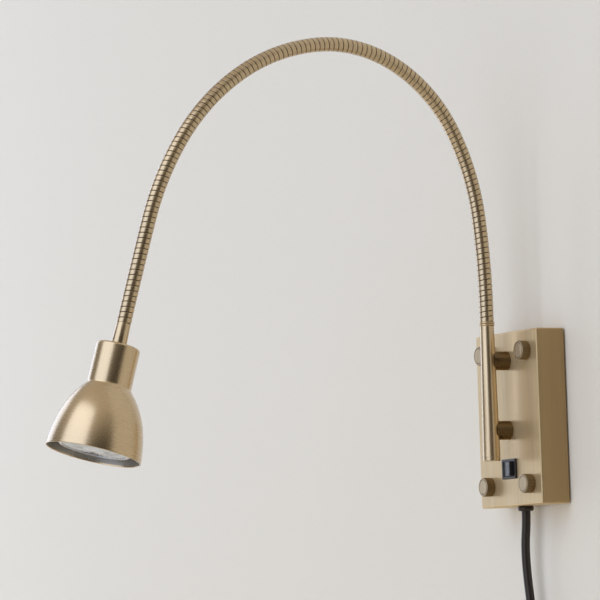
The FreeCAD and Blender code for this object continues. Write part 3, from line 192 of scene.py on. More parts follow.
class Finish:
    """A material under construction: one Principled shader and the nodes that vary its sockets."""

    def __init__(self, name, colour, metallic, roughness):
        self.material = bpy.data.materials.new(name)
        self.material.use_nodes = True
        self.tree = self.material.node_tree
        self.shader = self.tree.nodes["Principled BSDF"]
        self.shader.inputs["Base Color"].default_value = colour4(colour)
        self.shader.inputs["Metallic"].default_value = metallic
        self.shader.inputs["Roughness"].default_value = roughness
        self.roughness = roughness

    def node(self, kind, **values):
        """A new node of a kind, with its settings."""
        made = self.tree.nodes.new(kind)
        for key, value in values.items():
            setattr(made, key, value)
        return made

    def link(self, out, into):
        """Joins an output to an input."""
        self.tree.links.new(out, into)

    def noise(self, grain, detail=3.0, coordinates="Object", origin=(0.0, 0.0, 0.0), tilt=0.0):
        """Noise with so many grains a metre along each axis of a frame, which stands at an origin and
        is tilted about X; returns its value."""
        place = self.node("ShaderNodeTexCoord")
        mapping = self.node("ShaderNodeMapping", vector_type="TEXTURE")
        mapping.inputs["Location"].default_value = origin
        mapping.inputs["Rotation"].default_value = (tilt, 0.0, 0.0)
        mapping.inputs["Scale"].default_value = [1.0 / value for value in grain]
        noise = self.node("ShaderNodeTexNoise")
        noise.inputs["Scale"].default_value = 1.0
        noise.inputs["Detail"].default_value = detail
        self.link(place.outputs[coordinates], mapping.inputs["Vector"])
        self.link(mapping.outputs["Vector"], noise.inputs["Vector"])
        return noise.outputs["Fac"]

    def across(self, coordinates, axis):
        """One coordinate as a value."""
        place = self.node("ShaderNodeTexCoord")
        split = self.node("ShaderNodeSeparateXYZ")
        self.link(place.outputs[coordinates], split.inputs["Vector"])
        return split.outputs[axis]

    def spread(self, value, low, high, from_low=0.3, from_high=0.7):
        """A value stretched from one range to another."""
        spread = self.node("ShaderNodeMapRange")
        spread.inputs["From Min"].default_value = from_low
        spread.inputs["From Max"].default_value = from_high
        spread.inputs["To Min"].default_value = low
        spread.inputs["To Max"].default_value = high
        self.link(value, spread.inputs["Value"])
        return spread.outputs["Result"]

    def tint(self, value, other, share=1.0, span=(0.3, 0.7)):
        """Mixes the colour so far with another by where a value lies in a span."""
        mix = self.node("ShaderNodeMix", data_type="RGBA")
        base = self.shader.inputs["Base Color"]
        if base.is_linked:
            self.link(base.links[0].from_socket, mix.inputs["A"])
        else:
            mix.inputs["A"].default_value = base.default_value
        mix.inputs["B"].default_value = colour4(other)
        self.link(self.spread(value, 0.0, share, *span), mix.inputs["Factor"])
        self.link(mix.outputs["Result"], base)

    def lacquer(self):
        """A thin satin lacquer, which shows most where it is seen at a slant."""
        self.shader.inputs["Coat Weight"].default_value = 0.7
        self.shader.inputs["Coat Roughness"].default_value = 0.22

    def rough(self, value, change):
        """Roughness that varies by a value around its own level."""
        level = self.spread(value, self.roughness - change, self.roughness + change)
        self.link(level, self.shader.inputs["Roughness"])

    def bump(self, value, depth, strength=1.0):
        """Relief of a depth in metres; a second one adds to the first."""
        bump = self.node("ShaderNodeBump")
        bump.inputs["Strength"].default_value = strength
        bump.inputs["Distance"].default_value = depth
        normal = self.shader.inputs["Normal"]
        if normal.is_linked:
            self.link(normal.links[0].from_socket, bump.inputs["Normal"])
        self.link(value, bump.inputs["Height"])
        self.link(bump.outputs["Normal"], normal)


def darker(colour, share):
    """A colour times a share."""
    return tuple(channel * share for channel in tuple(colour)[:3])


def cover_brass(colour, half_width):
    """Upright brushing on the cover, which spreads reflections sideways. Its colour holds painted light: the base
    is a lighter copy of the brass, slow upright bands of a redder tone are a painted reflection of the brass round
    it, and the folded right side is painted darker as shade."""
    # Painted light: the cover's base is the brass made lighter, as if its front were more brightly lit.
    base = (colour[0] * 1.30, colour[1] * 1.34, colour[2] * 1.36)
    finish = Finish("brass_cover", base, 1.0, 0.40)
    finish.shader.inputs["Anisotropic"].default_value = 0.8
    tangent = finish.node("ShaderNodeTangent", direction_type="RADIAL", axis="Z")
    finish.link(tangent.outputs["Tangent"], finish.shader.inputs["Tangent"])
    # Painted reflection: slow upright bands of a redder tone, laid at random, stand in for the brass round the
    # cover reflected in its front.
    painted_reflection = finish.noise((62.0, 62.0, 2.0), detail=2.0)
    finish.tint(painted_reflection, (base[0] * 0.98, base[1] * 0.88, base[2] * 0.68), share=0.9)
    fine = finish.noise((900.0, 900.0, 9.0), detail=4.0)
    finish.tint(fine, darker(base, 0.80), share=0.7)
    # Painted shade: the folded right side, from 1.2 mm before it, is painted darker and redder.
    edge = half_width - 1.2 * mm
    side = (base[0] * 0.50, base[1] * 0.44, base[2] * 0.36)
    finish.tint(finish.across("Object", "X"), side, share=0.88, span=(edge, half_width))
    finish.rough(fine, 0.04)
    finish.bump(fine, 0.00001, 0.2)
    return finish.material


def brushed_brass(name, colour, grain, roughness=0.3, streaks=0.10, origin=(0.0, 0.0, 0.0), tilt=0.0):
    """Satin brass with fine brushing: noise drawn out along one axis varies colour, gloss and relief,
    and a slow cloud of noise varies the lacquer."""
    finish = Finish(name, colour, 1.0, roughness)
    finish.lacquer()
    fine = finish.noise(grain, detail=4.0, origin=origin, tilt=tilt)
    finish.tint(fine, darker(colour, 1.0 - streaks))
    cloud = finish.noise((18.0, 18.0, 9.0), detail=2.0)
    finish.tint(cloud, darker(colour, 0.95), share=0.6)
    finish.rough(fine, 0.04)
    finish.bump(fine, 0.00001, 0.25)
    return finish.material


def plain_finish(name, colour, metallic, roughness, grain, depth, mottle=0.85, coordinates="Object"):
    """A finish with an even grain and warm highlights: moulded plastic, rubber, plated steel or
    ceramic."""
    finish = Finish(name, colour, metallic, roughness)
    finish.shader.inputs["Specular Tint"].default_value = (1.0, 0.80, 0.56, 1.0)
    value = finish.noise((grain, grain, grain), detail=3.0, coordinates=coordinates)
    finish.tint(value, darker(colour, mottle))
    finish.rough(value, min(0.06, roughness * 0.3))
    if depth:
        finish.bump(value, depth, 0.5)
    return finish.material


# ---- what a user may change --------------------------------------------------------------------------


def tone(name, description, default):
    """A colour for the panel."""
    return FloatVectorProperty(
        name=name, description=description, subtype="COLOR", size=3, default=default, min=0.0, max=1.0
    )


class LampColours(bpy.types.PropertyGroup):
    """Colours of the lamp's finishes."""

    brass: tone("Brass", "Satin brass under clear lacquer", (0.60, 0.45, 0.26))
    bronze: tone("Bronze", "Dark bronze of the standoffs", (0.16, 0.115, 0.065))
    black: tone("Black plastic", "Switch, cord and plug", (0.012, 0.012, 0.014))
    steel: tone("Zinc plate", "Plate, nuts and screws inside", (0.62, 0.62, 0.60))
    bulb: tone("Bulb", "Silvered bulb and its lens", (0.70, 0.71, 0.72))
    lining: tone("Lining", "Grey enamel inside the shade", (0.40, 0.375, 0.33))
    sheath: tone("Sheath", "Insulation of the leads inside", (0.70, 0.68, 0.62))
    ceramic: tone("Ceramic", "Glazed lampholder", (0.85, 0.83, 0.78))
    cream: tone("Cream", "Moulded terminal block", (0.80, 0.76, 0.64))
    pins: tone("Pins", "Polished brass of the plug's pins", (0.75, 0.58, 0.30))
    wall: tone("Wall", "Painted wall behind the lamp", (0.82, 0.755, 0.625))


def length(name, description, default):
    """A size in metres for the panel."""
    return FloatProperty(
        name=name, description=description, subtype="DISTANCE", unit="LENGTH", default=default, precision=5
    )


def degrees(name, description, default):
    """An angle for the panel."""
    return FloatProperty(
        name=name, description=description, subtype="ANGLE", unit="ROTATION", default=math.radians(default)
    )


class ArmSizes(bpy.types.PropertyGroup):
    """Sizes of the tapered tube."""

    axis_from_wall: length("Axis from wall", "The tube's axis in front of the wall", 0.0385)
    bottom: length("Bottom", "Height of the tube's lower end", -0.030)
    top: length("Top", "Height of the tube's upper end", 0.070)
    bottom_radius: length("Bottom radius", "The tube's radius at its cap", 0.0063)
    top_radius: length("Top radius", "The tube's radius under the collar", 0.0051)
    spigot_radius: length("Spigot radius", "The tube's radius inside the collar", 0.0046)
    bore: length("Bore", "Radius of the tube's bore", 0.0038)
    cap_height: length("Cap", "Height of the end cap", 0.0026)
    collar_height: length("Collar", "Height of the two beads", 0.0030)
    collar_radius: length("Collar radius", "Radius of the two beads", 0.0056)


class NeckSizes(bpy.types.PropertyGroup):
    """Sizes of the flexible neck."""

    length: length("Length", "The neck's length from the tube to the ferrule", 0.5416)
    straight: length("Straight ends", "Straight lead at either end", 0.0104)
    turns: FloatVectorProperty(
        name="Turns", description="Degrees that each of the eight lengths turns", size=8,
        default=(6.5, 21.0, 33.0, 36.5, 26.5, 22.5, 17.0, 1.0),
    )
    crest: length("Crest radius", "Outside radius of the wound strip", 0.00515)
    groove: length("Groove radius", "Radius in the groove between turns", 0.00465)
    bore: length("Bore", "Radius of the hose's bore", 0.0032)
    ribs: IntProperty(name="Turns of strip", description="Turns of the wound strip", default=142)
    lead: length("Lead radius", "Radius of the lead inside the neck", 0.0014)
    lead_reach: length("Lead reach", "How far the lead runs past the neck", 0.0261)


class HeadSizes(bpy.types.PropertyGroup):
    """Sizes of the ferrule, the shade and the bulb, along the head's axis from the neck's end."""

    ferrule: length("Ferrule", "Length of the ferrule", 0.016)
    ferrule_top: length("Ferrule top", "The ferrule's radius at the neck", 0.0050)
    ferrule_bottom: length("Ferrule bottom", "The ferrule's radius at the shade", 0.0055)
    bore: length("Bore", "Radius of the hollow nipple's bore", 0.0026)
    thread: length("Thread", "Radius of the hollow nipple", 0.0040)
    thread_from: length("Thread from", "Where the ferrule's thread begins", 0.0060)
    wall: length("Wall", "Thickness of the spun shade", 0.0010)
    lining: length("Lining", "Thickness of the enamel inside the shade", 0.00008)
    neck_radius: length("Neck radius", "The shade's cylindrical neck", 0.0155)
    neck_length: length("Neck length", "From the shade's top to the root of its bell", 0.0280)
    corner: length("Corner", "Rounded corner at the shade's top", 0.0020)
    root: length("Root fillet", "Fillet between neck and bell", 0.0035)
    shoulder: degrees("Shoulder", "Steepest slope of the bell", 42.0)
    waist: degrees("Waist", "Slope where shoulder and skirt meet", 15.0)
    mouth: degrees("Mouth", "Slope at the mouth", 3.0)
    mouth_radius: length("Mouth radius", "Outside radius of the mouth", 0.0334)
    length: length("Shade length", "From the shade's top to its mouth", 0.0774)
    bulb_recess: length("Bulb recess", "The bulb's face behind the mouth", 0.0030)
    bulb_length: length("Bulb length", "From the bulb's face to its base", 0.0465)
    bulb_radius: length("Bulb radius", "Radius of the bulb's rim", 0.0250)
    bulb_base: length("Bulb base", "Radius of the bulb's base", 0.0120)
    bulb_base_height: length("Base height", "Height of the bulb's base", 0.0060)
    bulb_rim: length("Rim height", "Height of the bulb's rim", 0.0055)
    bulb_bulge: length("Bulge", "How far the bulb's shoulder swells", 0.0022)
    lens_radius: length("Lens radius", "Radius of the lens", 0.0224)
    lens_seat: length("Lens seat", "Depth of the lens's seat", 0.0014)
    lens_edge: length("Lens edge", "Thickness of the lens at its edge", 0.0010)
    lens_dome: length("Lens dome", "Rise of the lens in its middle", 0.0007)
    flutes: IntProperty(name="Flutes", description="Radial flutes in the lens", default=36)


class FrontSizes(bpy.types.PropertyGroup):
    """Sizes of the cover, the thumb nuts, the rocker and the cord grip."""

    face: length("Face", "The cover's front face in front of the wall", 0.0235)
    half_width: length("Half width", "Half of the cover's width", 0.044)
    cover_wall: length("Cover wall", "Thickness of the cover's sheet", 0.0012)
    nut_x: length("Nut spacing across", "Half of the nuts' spacing across", 0.0288)
    nut_z: length("Nut spacing upwards", "Half of the nuts' spacing upwards", 0.0475)
    nut_radius: length("Nut radius", "Outside of the knurl", 0.0068)
    nut_height: length("Nut height", "How far a nut stands out", 0.0068)
    nut_bore: length("Nut bore", "Radius of the blind hole", 0.00205)
    nut_bore_depth: length("Bore depth", "Depth of the blind hole", 0.0053)
    knurl: length("Knurl", "Depth of the knurl", 0.00035)
    knurls: IntProperty(name="Knurls", description="Flutes round a nut", default=38)
    ring: length("Ring", "Radius of the ring turned in a nut's face", 0.0055)
    rocker_reach: length("Rocker reach", "From the pivot to the rocker's ends", 0.0075)
    rocker_face: length("Rocker face", "From the pivot to the planes of the rocker's faces", 0.0028)
    rocker_skirt: length("Rocker skirt", "From the pivot to the rocker's back", 0.0017)
    rocker_half: length("Rocker half height", "Half of the rocker's height", 0.0051)
    rocker_throw: degrees("Rocker throw", "Half of the rocker's travel", 10.0)
    grip_radius: length("Grip radius", "Radius of the grip's foot under the cover", 0.00575)
    grip_drop: length("Grip drop", "How far the grip stands out under the cover", 0.0036)
    grip_inside: length("Grip inside", "How far the grip's sleeve reaches into the cover", 0.0154)


class CordSizes(bpy.types.PropertyGroup):
    """Sizes of the supply cord."""

    diameter: length("Diameter", "Outside of the sheath", 0.0064)
    coil_radius: length("Coil radius", "Centre line of the coil's outer turn", 0.0502)
    turn_pitch: length("Turn pitch", "Step from turn to turn and from layer to layer", 0.0069)
    turns: FloatProperty(name="Turns", description="Turns of the coil in both layers", default=7.125)
    tail: length("Tail", "Cord between the coil and the plug", 0.044)


class StageSizes(bpy.types.PropertyGroup):
    """Camera and light."""

    camera_place: FloatVectorProperty(
        name="Camera", description="Where the camera stands", subtype="XYZ", unit="LENGTH", size=3,
        default=(2.46020, -1.43716, -0.14840),
    )
    camera_aim: FloatVectorProperty(
        name="Aim", description="The point that the camera looks at", subtype="XYZ", unit="LENGTH", size=3,
        default=(0.0, -0.18819, 0.08449),
    )
    camera_roll: FloatProperty(
        name="Roll", description="Turn of the picture about its middle", subtype="ANGLE", unit="ROTATION",
        default=math.radians(-1.8721),
    )
    lens: FloatProperty(name="Lens", description="Focal length in millimetres, 36 mm sensor", default=236.9)
    window: FloatProperty(name="Window", description="Power of the large soft light in watts", default=54.0)
    side: FloatProperty(name="Side light", description="Power of the soft light along the wall", default=15.0)
    room: FloatProperty(name="Room", description="Strength of the room's even light", default=0.24)


class LampSettings(bpy.types.PropertyGroup):
    """Everything that the panel shows."""

    colours: PointerProperty(type=LampColours)
    arm: PointerProperty(type=ArmSizes)
    neck: PointerProperty(type=NeckSizes)
    head: PointerProperty(type=HeadSizes)
    front: PointerProperty(type=FrontSizes)
    cord: PointerProperty(type=CordSizes)
    stage: PointerProperty(type=StageSizes)


def settings():
    """The lamp's settings in the scene."""
    return bpy.context.scene.reading_lamp


# ---- stage -------------------------------------------------------------------------------------------


def flat_panel(name, corner, along, across, finish):
    """A flat rectangle from a corner and two sides."""
    corner, along, across = (np.array(value, float) for value in (corner, along, across))
    share = np.array([0.0, 1.0])
    points = corner + share[:, None, None] * along + share[None, :, None] * across
    panel = surface(name, points)
    panel.data.materials.append(finish)


def wall_paint(colour):
    """Matt paint with a faint roller grain, clear from behind so that the lamp's back can be seen."""
    finish = Finish("wall_paint", colour, 0.0, 0.8)
    grain = finish.noise((400.0, 400.0, 400.0), detail=2.0)
    finish.tint(grain, darker(colour, 0.985))
    finish.bump(grain, 0.0001, 0.2)
    facing = finish.node("ShaderNodeNewGeometry")
    clear = finish.node("ShaderNodeBsdfTransparent")
    mix = finish.node("ShaderNodeMixShader")
    finish.link(facing.outputs["Backfacing"], mix.inputs["Fac"])
    finish.link(finish.shader.outputs["BSDF"], mix.inputs[1])
    finish.link(clear.outputs["BSDF"], mix.inputs[2])
    finish.link(mix.outputs["Shader"], finish.tree.nodes["Material Output"].inputs["Surface"])
    return finish.material


def soft_light(name, place, aim, width, height, power, colour):
    """A large area light."""
    light = bpy.data.lights.new(name, "AREA")
    light.shape = "RECTANGLE"
    light.size = width
    light.size_y = height
    light.energy = power
    light.color = colour
    lamp = bpy.data.objects.new(name, light)
    bpy.context.collection.objects.link(lamp)
    lamp.location = place
    lamp.rotation_euler = (Vector(aim) - Vector(place)).to_track_quat("-Z", "Y").to_euler()


def room_light(towards, strength):
    """The room's even light: by the cosine between a direction and one beside the camera's it falls to
    a quarter there, and by a direction's height it grows towards a pale ceiling."""
    dimmed = strength * 0.25
    ceiling = strength * 1.4
    world = bpy.data.worlds.new("room")
    world.use_nodes = True
    tree = world.node_tree
    room = tree.nodes["Background"]
    room.inputs["Color"].default_value = (1.0, 0.92, 0.82, 1.0)
    place = tree.nodes.new("ShaderNodeTexCoord")
    cosine = tree.nodes.new("ShaderNodeVectorMath")
    cosine.operation = "DOT_PRODUCT"
    cosine.inputs[1].default_value = Vector((towards.x, towards.y * 0.25, 0.0)).normalized()
    fall = tree.nodes.new("ShaderNodeMapRange")
    fall.interpolation_type = "SMOOTHSTEP"
    fall.inputs["From Min"].default_value = math.cos(math.radians(42))
    fall.inputs["From Max"].default_value = math.cos(math.radians(16))
    fall.inputs["To Min"].default_value = strength
    fall.inputs["To Max"].default_value = dimmed
    height = tree.nodes.new("ShaderNodeSeparateXYZ")
    rise = tree.nodes.new("ShaderNodeMapRange")
    rise.interpolation_type = "SMOOTHSTEP"
    rise.inputs["From Min"].default_value = math.sin(math.radians(18))
    rise.inputs["From Max"].default_value = math.sin(math.radians(60))
    rise.inputs["To Max"].default_value = ceiling
    both = tree.nodes.new("ShaderNodeMath")
    tree.links.new(place.outputs["Generated"], cosine.inputs[0])
    tree.links.new(place.outputs["Generated"], height.inputs["Vector"])
    tree.links.new(cosine.outputs["Value"], fall.inputs["Value"])
    tree.links.new(height.outputs["Z"], rise.inputs["Value"])
    tree.links.new(fall.outputs["Result"], both.inputs[0])
    tree.links.new(rise.outputs["Result"], both.inputs[1])
    tree.links.new(both.outputs["Value"], room.inputs["Strength"])
    return world


class ReadingLampStage(bpy.types.Operator):
    """Wall, floor, camera and soft light"""

    bl_idname = "reading_lamp.stage"
    bl_label = "Stage"

    def execute(self, context):
        stage = settings().stage
        paint = wall_paint(settings().colours.wall)
        left = -3.0
        floor_level = -0.9
        behind_plate = 0.4 * mm
        flat_panel("wall", (left, behind_plate, floor_level), (3.9, 0.0, 0.0), (0.0, 0.0, 3.4), paint)
        flat_panel("floor", (left, 0.0, floor_level), (0.0, -4.0, 0.0), (6.0, 0.0, 0.0), paint)
        camera_data = bpy.data.cameras.new("camera")
        camera_data.lens = stage.lens
        camera_data.sensor_width = 36.0
        camera_data.sensor_fit = "HORIZONTAL"
        camera_data.clip_end = 30.0
        camera = bpy.data.objects.new("camera", camera_data)
        context.collection.objects.link(camera)
        place = Vector(stage.camera_place)
        level = (Vector(stage.camera_aim) - place).to_track_quat("-Z", "Y").to_matrix()
        turned = level @ Matrix.Rotation(stage.camera_roll, 3, "Z")
        camera.matrix_world = Matrix.Translation(place) @ turned.to_4x4()
        context.scene.camera = camera
        daylight = (0.64, 0.75, 1.0)
        soft_light("window", (0.50, -2.25, 0.9), (0.0, 0.0, 0.1), 2.6, 3.8, stage.window, daylight)
        soft_light("side_light", (-1.9, -0.7, 0.2), (0.0, 0.0, 0.0), 1.1, 2.2, stage.side, daylight)
        context.scene.world = room_light(Vector(stage.camera_place), stage.room)
        context.scene.view_settings.view_transform = "Standard"
        return {"FINISHED"}


# ---- tube --------------------------------------------------------------------------------------------


class ReadingLampArm(bpy.types.Operator):
    """Tapered tube, its end cap and the double bead at its top"""

    bl_idname = "reading_lamp.arm"
    bl_label = "Tube"

    def execute(self, context):
        arm = settings().arm
        finish = brushed_brass("brass_tube", settings().colours.brass, (700.0, 700.0, 12.0), roughness=0.29)
        origin = (0.0, -arm.axis_from_wall, 0.0)
        up = (0.0, 0.0, 1.0)
        edge = 0.25 * mm
        taper_from = arm.bottom + arm.cap_height
        taper_to = arm.top - arm.collar_height
        tube = np.vstack(
            [
                [(arm.bore, taper_from)],
                arc((arm.bottom_radius - edge, taper_from + edge), edge, -90, 0, 5),
                arc((arm.top_radius - edge, taper_to - edge), edge, 0, 90, 5),
                [(arm.spigot_radius, taper_to), (arm.spigot_radius, arm.top), (arm.bore, arm.top)],
            ]
        )
        show(turned("tube", tube, origin, up), "wall_unit", "brass", finish, "arm_tube")
        plug = arm.bore - 0.05 * mm
        plug_end = taper_from + 5 * mm
        cap_round = 0.6 * mm
        cap = np.vstack(
            [
                [(0.0, arm.bottom)],
                arc((arm.bottom_radius - cap_round, arm.bottom + cap_round), cap_round, -90, 0, 8),
                arc((arm.bottom_radius - edge, taper_from - edge), edge, 0, 90, 5),
                [(plug, taper_from), (plug, plug_end), (0.0, plug_end)],
            ]
        )
        show(turned("tube_cap", cap, origin, up), "wall_unit", "brass", finish, "tube_end_cap")
        bead = arm.collar_height / 4
        stand = arm.collar_radius - bead
        collar = np.vstack(
            [
                [(arm.spigot_radius, taper_to)],
                arc((stand, taper_to + bead), bead, -90, 90, 15),
                arc((stand, arm.top - bead), bead, -90, 90, 15),
                [(arm.spigot_radius, arm.top)],
            ]
        )
        show(turned("collar", collar, origin, up), "wall_unit", "brass", finish, "neck_collar")
        return {"FINISHED"}


# ---- neck --------------------------------------------------------------------------------------------


class NeckLine:
    """The neck's centre line in the plane X = 0: a straight lead, eight arcs of equal length, a
    straight lead."""

    def __init__(self, sizes, start):
        arc_length = (sizes.length - 2 * sizes.straight) / len(sizes.turns)
        self.lengths = np.array([sizes.straight, *[arc_length] * len(sizes.turns), sizes.straight])
        turns = np.radians([0.0, *sizes.turns, 0.0])
        self.rate = turns / self.lengths + 1e-6
        self.begins = np.concatenate([[0.0], np.cumsum(self.lengths)[:-1]])
        self.headings = np.concatenate([[0.0], np.cumsum(self.rate * self.lengths)[:-1]])
        spots = [np.array(start, float)]
        for rate, heading, length in zip(self.rate, self.headings, self.lengths):
            spots.append(spots[-1] + self.step(rate, heading, length))
        self.spots = np.array(spots[:-1])

    @staticmethod
    def step(rate, heading, distance):
        """The way gone along an arc: the heading's sine and cosine, summed over a distance."""
        ahead = heading + rate * distance
        y = (np.cos(ahead) - np.cos(heading)) / rate
        z = (np.sin(ahead) - np.sin(heading)) / rate
        return np.stack([y, z], -1)

    def at(self, distance):
        """Points (y, z) and headings at distances from the tube."""
        piece = np.clip(np.searchsorted(self.begins, distance, side="right") - 1, 0, len(self.begins) - 1)
        into = distance - self.begins[piece]
        rate, heading = self.rate[piece], self.headings[piece]
        return self.spots[piece] + self.step(rate, heading, into), heading + rate * into

    def ring(self, distance, radius, angle):
        """Points at a radius and an angle round the centre line."""
        spot, heading = self.at(distance)
        across = radius * np.sin(angle)
        x = radius * np.cos(angle) + 0 * heading
        y = spot[..., 0] + across * np.cos(heading)
        z = spot[..., 1] + across * np.sin(heading)
        return np.stack([x, y, z], -1)

    def point(self, distance):
        """One point of the centre line."""
        spot, _ = self.at(np.array(distance))
        return (0.0, float(spot[0]), float(spot[1]))


def neck_line():
    """The neck's centre line, from the top of the tube."""
    arm = settings().arm
    return NeckLine(settings().neck, (-arm.axis_from_wall, arm.top))


def strip_radius(share, sizes):
    """The wound strip's outline over one turn: a groove at both ends and a crest that is slightly
    domed, as groove + (crest - groove) * (1 - exp(-(d / 0.062)^4)) with a dome of 8 % of the depth,
    where d is the distance from the nearer end in turns."""
    near = np.minimum(share, 1 - share)
    rise = 1 - np.exp(-((near / 0.062) ** 4))
    dome = 1 - 0.08 * (1 - 2 * near) ** 2
    return sizes.groove + (sizes.crest - sizes.groove) * rise * dome


def hose_piece(name, line, sizes, start, end, around=40):
    """One length of the hose: a strip wound as a helix. At an angle a after the neck's start, the
    strip begins at the distance pitch * a / 2 pi and is one pitch wide; the part outside the piece's
    two ends is clipped to them. Rings at both ends and the bore close the piece."""
    pitch = sizes.length / sizes.ribs
    first = math.floor(start / pitch - 1) * around
    last = math.ceil(end / pitch) * around
    step = np.arange(first, last + 1)
    begin = (pitch * step / around)[:, None]
    share = np.array([0.0, 0.03, 0.05, 0.07, 0.09, 0.13, 0.3, 0.5, 0.7, 0.87, 0.91, 0.93, 0.95, 0.97, 1.0])
    distance = np.clip(begin + pitch * share, start, end)
    share = np.clip((distance - begin) / pitch, 0.0, 1.0)
    angle = 2 * math.pi * ((step % around) / around)[:, None]
    outside = line.ring(distance, strip_radius(share, sizes), angle)
    turn = (np.arange(around + 1) % around) / around
    rounds = []
    for cut in (start, end):
        phase = (cut / pitch - turn) % 1.0
        rounds.append((np.full(around + 1, cut), strip_radius(phase, sizes)))
    inner = np.linspace(start, end, 12)[:, None]
    bore = line.ring(inner, np.full(around + 1, sizes.bore), 2 * math.pi * turn)
    caps = [line.ring(at, radius, 2 * math.pi * turn) for at, radius in rounds]
    closing = np.concatenate([caps[0][None], bore, caps[1][None]])
    uv = np.stack([np.broadcast_to(angle / (2 * math.pi) + begin / pitch, share.shape), share], -1)
    uv_closing = np.zeros((*closing.shape[:2], 2)) + 0.5
    return surface(name, [outside, closing[::-1]], [uv, uv_closing], sharp=50.0)


def lead_piece(name, line, radius, start, end, around=20):
    """One length of the lead inside the hose: a round rod along the neck's line, closed at both ends."""
    along = np.linspace(start, end, 26)
    distance = np.concatenate([[start], along, [end]])[:, None]
    reach = np.concatenate([[0.0], np.full(len(along), radius), [0.0]])[:, None]
    angle = 2 * math.pi * (np.arange(around + 1) % around) / around
    return surface(name, line.ring(distance, reach, angle))


class ReadingLampNeck(bpy.types.Operator):
    """Flexible neck: a wound strip and its lead, in seven lengths"""

    bl_idname = "reading_lamp.neck"
    bl_label = "Flexible neck"

    def execute(self, context):
        sizes = settings().neck
        line = neck_line()
        finish = hose_finish(settings().colours.brass)
        sheath = plain_finish("lead_sheath", settings().colours.sheath, 0.0, 0.35, 500.0, 0.0)
        bends = sorted(
            (joint for joint in frame["joints"] if joint["name"].startswith("neck_")),
            key=lambda joint: joint["name"][-1],
        )
        arc_length = line.lengths[1]
        middles = sizes.straight + arc_length * (np.arange(len(sizes.turns)) + 0.5)
        starts = [0.0, *middles[1:-1]]
        ends = [*middles[1:-1], sizes.length]
        last = len(bends) - 1
        for index, bend in enumerate(bends):
            numbers = [index + 1, index + 2] if index == last else [index + 1]
            start = starts[index]
            end = ends[index]
            hose = hose_piece(f"neck_hose_{index + 1}", line, sizes, start, end)
            show(hose, None, "brass", finish, *(f"neck_section_{number}" for number in numbers))
            reach = sizes.lead_reach if index == last else 0.0
            lead = lead_piece(f"neck_lead_{index + 1}", line, sizes.lead, start, end + reach)
            show(lead, None, "wire_sheath", sheath, *(f"lead_section_{number}" for number in numbers))
            for piece in (hose, lead):
                line.point(middles[index])
                line.point(middles[index + 1])
                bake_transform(piece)
        return {"FINISHED"}


def hose_finish(colour):
    """Brass of the wound strip, with painted shade: the groove between turns is painted nearly black. Fine marks
    run along the strip, and a slow change goes from turn to turn."""
    finish = Finish("brass_hose", colour, 1.0, 0.3)
    finish.lacquer()
    marks = finish.noise((1.5, 24.0, 1.0), detail=3.0, coordinates="UV")
    finish.tint(marks, darker(colour, 0.85))
    cloud = finish.noise((140.0, 140.0, 140.0), detail=2.0)
    finish.tint(cloud, darker(colour, 0.86), share=0.8)
    # Painted shade: near either edge of the strip, in the groove between turns, the colour falls to a tenth.
    place = finish.across("UV", "Y")
    centred = finish.node("ShaderNodeMath", operation="SUBTRACT")
    finish.link(place, centred.inputs[0])
    centred.inputs[1].default_value = 0.5
    groove_shade = finish.node("ShaderNodeMath", operation="ABSOLUTE")
    finish.link(centred.outputs[0], groove_shade.inputs[0])
    finish.tint(groove_shade.outputs[0], darker(colour, 0.10), span=(0.40, 0.46))
    finish.rough(marks, 0.05)
    return finish.material


# ---- head --------------------------------------------------------------------------------------------


def head_place():
    """The neck's end and the direction of the head's axis."""
    line = neck_line()
    end, heading = line.at(np.array(settings().neck.length))
    return (0.0, float(end[0]), float(end[1])), (0.0, -math.sin(heading), math.cos(heading)), float(heading)


def shade_outline(sizes, inset, count=22):
    """The shade's outline from its top to its mouth, set in from the outside by a distance: a rounded
    corner, the cylindrical neck, a root fillet, a shoulder arc and a skirt arc, which share their
    tangents. The radii of shoulder and skirt are the two that reach the mouth's radius and length."""
    root_at = sizes.ferrule + sizes.neck_length
    begin = np.array(
        [
            sizes.neck_radius + sizes.root * (1 - math.cos(sizes.shoulder)),
            root_at + sizes.root * math.sin(sizes.shoulder),
        ]
    )
    spread = sizes.mouth_radius - begin[0]
    rise = sizes.ferrule + sizes.length - begin[1]
    sines = np.sin([sizes.shoulder, sizes.waist, sizes.mouth])
    cosines = np.cos([sizes.shoulder, sizes.waist, sizes.mouth])
    shoulder, skirt = np.linalg.solve([sines[:2] - sines[1:], cosines[1:] - cosines[:2]], [rise, spread])
    shoulder_centre = begin + shoulder * np.array([-cosines[0], sines[0]])
    skirt_centre = shoulder_centre + (shoulder - skirt) * np.array([cosines[1], -sines[1]])
    turn = np.degrees([sizes.shoulder, sizes.waist, sizes.mouth])
    corner = (sizes.neck_radius - sizes.corner, sizes.ferrule + sizes.corner)
    root = (sizes.neck_radius + sizes.root, root_at)
    return np.vstack(
        [
            arc(corner, sizes.corner - inset, -90, 0, 8),
            arc(root, sizes.root + inset, 180, 180 - turn[0], 10),
            arc(shoulder_centre, shoulder - inset, -turn[0], -turn[1], count)[1:],
            arc(skirt_centre, skirt - inset, -turn[1], -turn[2], count)[1:],
        ]
    )


def skin(sizes, outer_inset, inner_inset, hole, mouth_gap):
    """The closed section between two insets of the shade's outline, from its hole to short of its
    mouth."""
    outer = shade_outline(sizes, outer_inset)
    inner = shade_outline(sizes, inner_inset)
    outer[-1, 1] -= mouth_gap
    inner[-1, 1] -= mouth_gap
    middle = (outer[-1] + inner[-1]) / 2
    lip_radius = np.linalg.norm(outer[-1] - inner[-1]) / 2
    outer[-1, 1] -= lip_radius
    inner[-1, 1] -= lip_radius
    lip = arc((middle[0], middle[1] - lip_radius), lip_radius, 0, 180, 9)[1:-1]
    first = (hole, sizes.ferrule + outer_inset)
    last = (hole, sizes.ferrule + inner_inset)
    return np.vstack([[first], outer, lip, inner[::-1], [last]])


